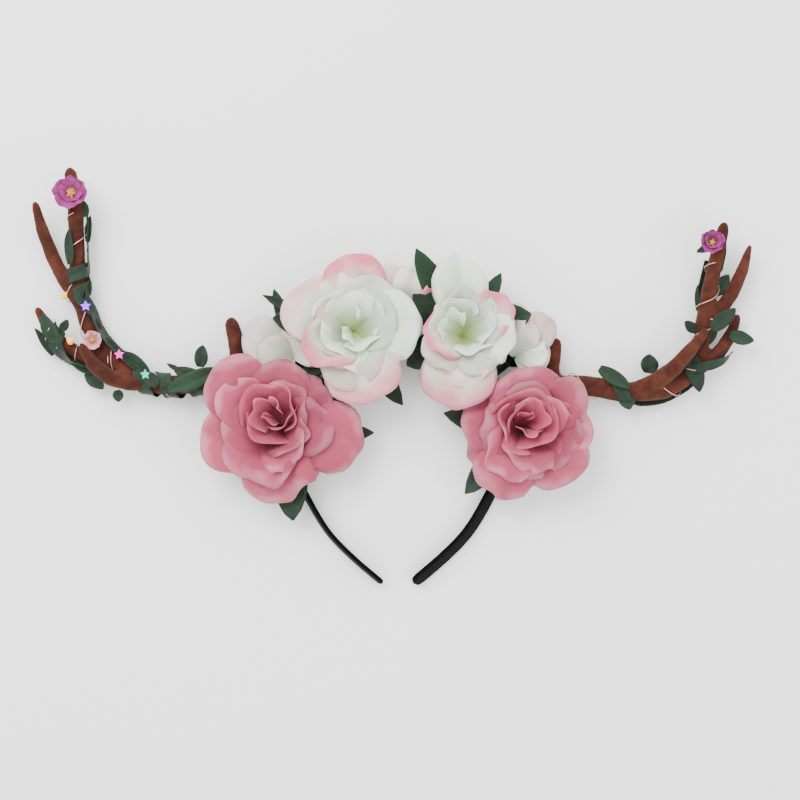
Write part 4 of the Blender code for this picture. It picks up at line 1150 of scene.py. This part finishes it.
def felt_copy(node, settings, material):
    """Felt laid over an antler: its solid smoothed, with the soft lumps of the stuffing."""
    bm = bmesh.new()
    bm.from_mesh(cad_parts[node].data)
    bmesh.ops.remove_doubles(bm, verts=bm.verts[:], dist=1e-6)
    piece = link_new(node + "_felt", mesh_of(bm, node + "_felt"))
    cells = piece.modifiers.new("Cells", "REMESH")
    cells.mode = "VOXEL"
    cells.voxel_size = settings.voxel
    soft = piece.modifiers.new("Soft", "SMOOTH")
    soft.factor = 0.5
    soft.iterations = 40
    evaluated = piece.evaluated_get(bpy.context.evaluated_depsgraph_get())
    smooth = bpy.data.meshes.new_from_object(evaluated)
    piece.modifiers.clear()
    piece.data = smooth
    smooth.name = node + "_felt"
    for vert in smooth.vertices:
        lump = noise.noise(vert.co * 90) + 0.5 * noise.noise(vert.co * 210)
        vert.co = vert.co + vert.normal * (settings.lumps * lump + FELT_LIFT)
        vert.co.z = max(vert.co.z, FELT_FLOOR)
    smooth.materials.clear()
    smooth.materials.append(material)
    smooth.shade_smooth()
    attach(piece, BODY)
    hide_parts(node)
    return piece


def add_ribbon(bm, course, rows, width, distance):
    """Add a ribbon wound round a branch to a bmesh."""
    first = rows[0].share
    last = rows[-1].share

    def place(along, across):
        share = first + (last - first) * along
        angle = math.tau * turns_at(rows, share)
        here, outward = course.beside(share, angle, distance)
        step = 0.004
        before = course.beside(share - step, math.tau * turns_at(rows, max(share - step, first)), distance)[0]
        after = course.beside(share + step, math.tau * turns_at(rows, min(share + step, last)), distance)[0]
        sideways = (after - before).cross(outward).normalized()
        curl = 0.0005 * across * across + 0.0004 * noise.noise(Vector((along * 60, across * 2, 3)))
        point = here + sideways * width / 2 * across + outward * curl
        point.z = max(point.z, FLOOR_GAP)
        return point

    turns = abs(rows[-1].turns - rows[0].turns)
    add_grid(bm, place, int(60 + 30 * turns), 6, lambda along, across: (along * 8 % 1, abs(across), 0.4))


def build_garland(name, courses, ribbons, leaves, material, settings):
    """Ribbon wound round a beam, with leaves tied on along the antler."""
    bm = new_bmesh()
    for branch, width, rows in ribbons:
        add_ribbon(bm, Course(courses[branch]), rows, width, RIBBON_LIFT)
    for number, leaf in enumerate(leaves):
        root = Vector((leaf.x, leaf.y, leaf.z))
        place = leaf_place(root, leaf.heading, leaf.length, leaf.width, 0.06, number * 1.3)
        # Painted highlight of each garland leaf, moving its colour towards the lighter green.
        shade = (math.sin(number * 7.1) + 1) / 2
        add_grid(bm, place, *SPRIG_GRID, lambda along, across: (along, abs(across), shade))
    return finish_piece(bm, name + "_satin", material, [name], settings.thickness)


def build_wire(name, courses, windings, settings, material):
    """Bare wire wound round an antler under its garland."""
    curve = bpy.data.curves.new(name, "CURVE")
    curve.dimensions = "3D"
    curve.bevel_depth = settings.wire_radius
    curve.bevel_resolution = 1
    for branch, rows in windings.items():
        track = Course(courses[branch])
        turns = rows[-1].turns - rows[0].turns
        count = int(WIRE_STEPS * turns)
        spline = curve.splines.new("POLY")
        spline.points.add(count)
        for index, point in enumerate(spline.points):
            share = rows[0].share + (rows[-1].share - rows[0].share) * index / count
            angle = math.tau * turns_at(rows, share) + 0.5 * math.sin(index * 0.13)
            lift = 0.0010 + 0.0003 * math.sin(index * 0.31)
            here = track.beside(share, angle, lift)[0]
            here.z = max(here.z, FLOOR_GAP)
            point.co = (*here, 1)
    piece = link_new(name, curve)
    curve.materials.append(material)
    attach(piece, BODY)
    return piece


def tiny_petals(bm, centre, radius, depth, lobes, layers):
    """Add the ruffled petals of a tiny flower to a bmesh."""
    for layer in range(layers):
        size = radius * (TINY_OUTER - TINY_STEP * layer)
        for number in range(lobes):
            outward, sideways = level_pair(math.tau * (number + 0.5 * layer) / lobes)

            def place(along, across):
                side = math.sqrt(max(1 - across * across, 0.0))
                notch = 0.04 * math.cos(across * 7 + number * 2) + 0.12 * math.sin(number * 5 + layer * 3)
                s = along * (0.52 + 0.40 * side + notch * along)
                half = size * 0.66 * math.sin(math.pi / 2 * min(0.12 + s / 0.7, 1.0))
                level = depth * (0.25 + 0.75 * s ** 0.7) + 0.0005 * layer
                level += 0.24 * size * math.sin(across * 4 + number * 2.7 + layer) * along ** 2
                return centre + outward * size * s + sideways * half * across + UP * level

            add_grid(bm, place, *TINY_GRID, lambda along, across: (along, 0, 0.5))


def build_tiny_flower(node, material, lobes, layers):
    """Tiny ruffled flower on an antler, in place of its solid."""
    low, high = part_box(node)
    centre = (low + high) / 2
    radius = (high.x - low.x + high.y - low.y) / 4
    centre.z = low.z
    bm = new_bmesh()
    tiny_petals(bm, centre, radius, high.z - low.z, lobes, layers)
    made = bmesh.ops.create_icosphere(bm, subdivisions=3, radius=radius * TINY_CENTRE)
    layer = bm.verts.layers.float_color["petal"]
    middle = centre + Vector((0.0, -TINY_DROP * radius, (high.z - low.z) * TINY_HEIGHT))
    for vert in made["verts"]:
        vert[layer] = (0.0, 0.0, 0.5, 1)
        turn = math.atan2(vert.co.y, vert.co.x)
        vert.co *= 1 + 0.34 * math.cos(5 * turn) + 0.2 * noise.noise(vert.co * 1800)
        vert.co += middle
    return finish_piece(bm, node + "_silk", material, [node])


def build_lamp(lamp, material):
    """Small lamp: a drop at the middle of a heart's two lobes or of a star's points."""
    low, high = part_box(lamp.node)
    centre = (low + high) / 2
    radius = (high.x - low.x) / 2
    form = HEART if lamp.lobes == 2 else STAR
    bm = new_bmesh()
    made = bmesh.ops.create_uvsphere(bm, u_segments=20, v_segments=14, radius=radius * 0.7)
    for vert in made["verts"]:
        taper = 1 - 0.18 * vert.co.z / radius
        vert.co = Vector((vert.co.x * taper, vert.co.y * taper, vert.co.z * 1.1)) + centre
    for number in range(lamp.lobes):
        outward, sideways = level_pair(math.radians(form.first + form.step * number))
        middle = centre + outward * radius * form.out + UP * radius * form.up
        made = bmesh.ops.create_uvsphere(bm, u_segments=16, v_segments=10, radius=radius)
        for vert in made["verts"]:
            along, across, up = vert.co
            across *= form.width - form.taper * along / radius
            vert.co = middle + outward * along * form.stretch + sideways * across + UP * up * LOBE_HEIGHT
            if form is HEART:
                near = max(1 - abs(vert.co.x - centre.x) / (radius * 1.4), 0)
                below = max((centre.y + radius * 0.4 - vert.co.y) / radius, 0)
                vert.co.y -= radius * 0.9 * near * below
    return finish_piece(bm, lamp.node + "_shell", material, [lamp.node])


def hosts_of_leaves():
    """Return the place of each rose's root by name."""
    roses = {**PINK_ROSES, **WHITE_ROSES, **SIDE_ROSES}
    return {name: rose.root for name, rose in roses.items()}


class HEADBAND_OT_groups(bpy.types.Operator):
    """Make the node groups that several materials share"""
    bl_idname = "headband.groups"
    bl_label = "Shared effects"

    def execute(self, context):
        make_weave_group()
        make_nap_group()
        make_tint_group()
        return {"FINISHED"}


class HEADBAND_OT_band(bpy.types.Operator):
    """Cover the band with black cloth"""
    bl_idname = "headband.band"
    bl_label = "Band"

    def execute(self, context):
        build_band(make_band_cloth(context.scene.headband_band))
        return {"FINISHED"}


class HEADBAND_OT_antlers(bpy.types.Operator):
    """Lay felt over both antlers"""
    bl_idname = "headband.antlers"
    bl_label = "Antlers"

    def execute(self, context):
        settings = context.scene.headband_felt
        material = make_felt(settings)
        for node in ("antler_left", "antler_right"):
            felt_copy(node, settings, material)
        return {"FINISHED"}


class HEADBAND_OT_pink_roses(bpy.types.Operator):
    """Make the pink roses"""
    bl_idname = "headband.pink_roses"
    bl_label = "Pink roses"

    def execute(self, context):
        settings = context.scene.headband_petals
        silk = make_silk("Pink silk", tuple(settings.painted_shade_pink), tuple(settings.pink),
                         tuple(settings.pink_rim_highlight), tuple(settings.pink_rim_highlight), 0.90)
        green = leaf_satin(context.scene.headband_greens)
        for name, rose in PINK_ROSES.items():
            build_rose(name, rose, silk, green, settings)
        return {"FINISHED"}


class HEADBAND_OT_white_roses(bpy.types.Operator):
    """Make the white roses and the low white petal"""
    bl_idname = "headband.white_roses"
    bl_label = "White roses"

    def execute(self, context):
        settings = context.scene.headband_petals
        silk = make_silk("White silk", tuple(settings.throat), tuple(settings.white),
                         tuple(settings.white_rim_highlight), tuple(settings.blush), 0.86)
        green = leaf_satin(context.scene.headband_greens)
        for name, rose in (*WHITE_ROSES.items(), *SIDE_ROSES.items()):
            build_rose(name, rose, silk, green, settings)
        greens = context.scene.headband_greens
        build_leaf(LOW_PETAL, hosts_of_leaves(), silk, greens)
        return {"FINISHED"}


class HEADBAND_OT_leaves(bpy.types.Operator):
    """Make the leaves round the roses"""
    bl_idname = "headband.leaves"
    bl_label = "Leaves"

    def execute(self, context):
        settings = context.scene.headband_greens
        satin = leaf_satin(settings)
        hosts = hosts_of_leaves()
        for leaf in LEAVES:
            build_leaf(leaf, hosts, satin, settings)
        return {"FINISHED"}


class HEADBAND_OT_garlands(bpy.types.Operator):
    """Wind the leafy garlands round the antlers"""
    bl_idname = "headband.garlands"
    bl_label = "Garlands"

    def execute(self, context):
        settings = context.scene.headband_greens
        satin = make_satin("Garland satin", tuple(0.8 * part for part in settings.leaf),
                           tuple(0.9 * part for part in settings.vein_and_highlight), 0.55)
        build_garland("garland_left", LEFT_COURSES, LEFT_RIBBONS, LEFT_SPRIGS, satin, settings)
        build_garland("garland_right", RIGHT_COURSES, RIGHT_RIBBONS, RIGHT_SPRIGS, satin, settings)
        return {"FINISHED"}


class HEADBAND_OT_lights(bpy.types.Operator):
    """Wind the bare wire round the antlers and set the lamps on it"""
    bl_idname = "headband.lights"
    bl_label = "Light string"

    def execute(self, context):
        settings = context.scene.headband_lights
        wire = make_wire(settings)
        build_wire("wire_left", LEFT_COURSES, LEFT_WIRE, settings, wire)
        build_wire("wire_right", RIGHT_COURSES, RIGHT_WIRE, settings, wire)
        for lamp in LAMPS:
            build_lamp(lamp, make_lamp_shell("Glow " + lamp.node, lamp.glow, lamp.strength))
        return {"FINISHED"}


class HEADBAND_OT_flowers(bpy.types.Operator):
    """Make the tiny flowers on the antlers"""
    bl_idname = "headband.flowers"
    bl_label = "Tiny flowers"

    def execute(self, context):
        settings = context.scene.headband_lights
        violet = make_flower_silk("Violet silk", tuple(settings.violet), tuple(settings.centre))
        pale = make_flower_silk("Blush silk", tuple(settings.pale), tuple(settings.centre))
        build_tiny_flower("flower_tip_left", violet, 6, 2)
        build_tiny_flower("flower_tip_right", violet, 6, 2)
        build_tiny_flower("flower_side", pale, 5, 1)
        return {"FINISHED"}


class HEADBAND_OT_stage(bpy.types.Operator):
    """Set up the floor, the soft lights and the camera"""
    bl_idname = "headband.stage"
    bl_label = "Stage"

    def execute(self, context):
        settings = context.scene.headband_stage
        bm = bmesh.new()
        bmesh.ops.create_grid(bm, x_segments=1, y_segments=1, size=4.0)
        floor = link_new("floor", mesh_of(bm, "floor"))
        floor.data.materials.append(make_floor(settings.floor))
        add_light("key_light", (-0.55, 0.75, 1.10), 0.9, settings.key)
        add_light("fill_light", (0.85, -0.35, 0.90), 1.0, settings.fill)
        world = bpy.data.worlds.new("Soft surroundings")
        world.use_nodes = True
        back = world.node_tree.nodes["Background"]
        back.inputs["Color"].default_value = (1.0, 1.0, 1.0, 1)
        back.inputs["Strength"].default_value = settings.sky
        context.scene.world = world
        lens = bpy.data.cameras.new("camera")
        lens.sensor_width = 36.0
        lens.lens = lens.sensor_width * (settings.distance - ROSE_LEVEL) / settings.width
        camera = link_new("camera", lens)
        camera.location = (VIEW_X, VIEW_Y, settings.distance)
        context.scene.camera = camera
        return {"FINISHED"}


def add_light(name, place, size, power):
    """Add a square soft light that faces the headband."""
    lamp = bpy.data.lights.new(name, "AREA")
    lamp.size = size
    lamp.energy = power
    light = link_new(name, lamp)
    light.location = place
    light.rotation_euler = (Vector((0, -0.02, 0)) - Vector(place)).to_track_quat("-Z", "Y").to_euler()


class HEADBAND_PT_panel(bpy.types.Panel):
    """Buttons and settings for the headband's pieces"""
    bl_idname = "HEADBAND_PT_panel"
    bl_label = "Antler headband"
    bl_space_type = "VIEW_3D"
    bl_region_type = "UI"
    bl_category = "Headband"

    def draw(self, context):
        for operator in OPERATORS:
            self.layout.operator(operator.bl_idname)
        for name in SETTINGS:
            box = self.layout.box()
            group = getattr(context.scene, name)
            for key in group.bl_rna.properties.keys():
                if key not in ("rna_type", "name"):
                    box.prop(group, key)


SETTINGS = {
    "headband_felt": FeltSettings,
    "headband_petals": PetalSettings,
    "headband_greens": GreenSettings,
    "headband_band": BandSettings,
    "headband_lights": LightSettings,
    "headband_stage": StageSettings,
}
OPERATORS = (
    HEADBAND_OT_groups,
    HEADBAND_OT_stage,
    HEADBAND_OT_band,
    HEADBAND_OT_antlers,
    HEADBAND_OT_pink_roses,
    HEADBAND_OT_white_roses,
    HEADBAND_OT_leaves,
    HEADBAND_OT_garlands,
    HEADBAND_OT_lights,
    HEADBAND_OT_flowers,
)


def register():
    """Register the settings, the operators and the panel."""
    for name, group in SETTINGS.items():
        bpy.utils.register_class(group)
        setattr(bpy.types.Scene, name, bpy.props.PointerProperty(type=group))
    for operator in OPERATORS:
        bpy.utils.register_class(operator)
    bpy.utils.register_class(HEADBAND_PT_panel)


def unregister():
    """Take the panel, the operators and the settings away again."""
    bpy.utils.unregister_class(HEADBAND_PT_panel)
    for operator in reversed(OPERATORS):
        bpy.utils.unregister_class(operator)
    for name, group in SETTINGS.items():
        delattr(bpy.types.Scene, name)
        bpy.utils.unregister_class(group)


def main():
    """Make every piece in order."""
    register()
    bpy.ops.headband.groups()
    bpy.ops.headband.stage()
    bpy.ops.headband.band()
    bpy.ops.headband.antlers()
    bpy.ops.headband.pink_roses()
    bpy.ops.headband.white_roses()
    bpy.ops.headband.leaves()
    bpy.ops.headband.garlands()
    bpy.ops.headband.lights()
    bpy.ops.headband.flowers()


if __name__ == "__main__":
    main()
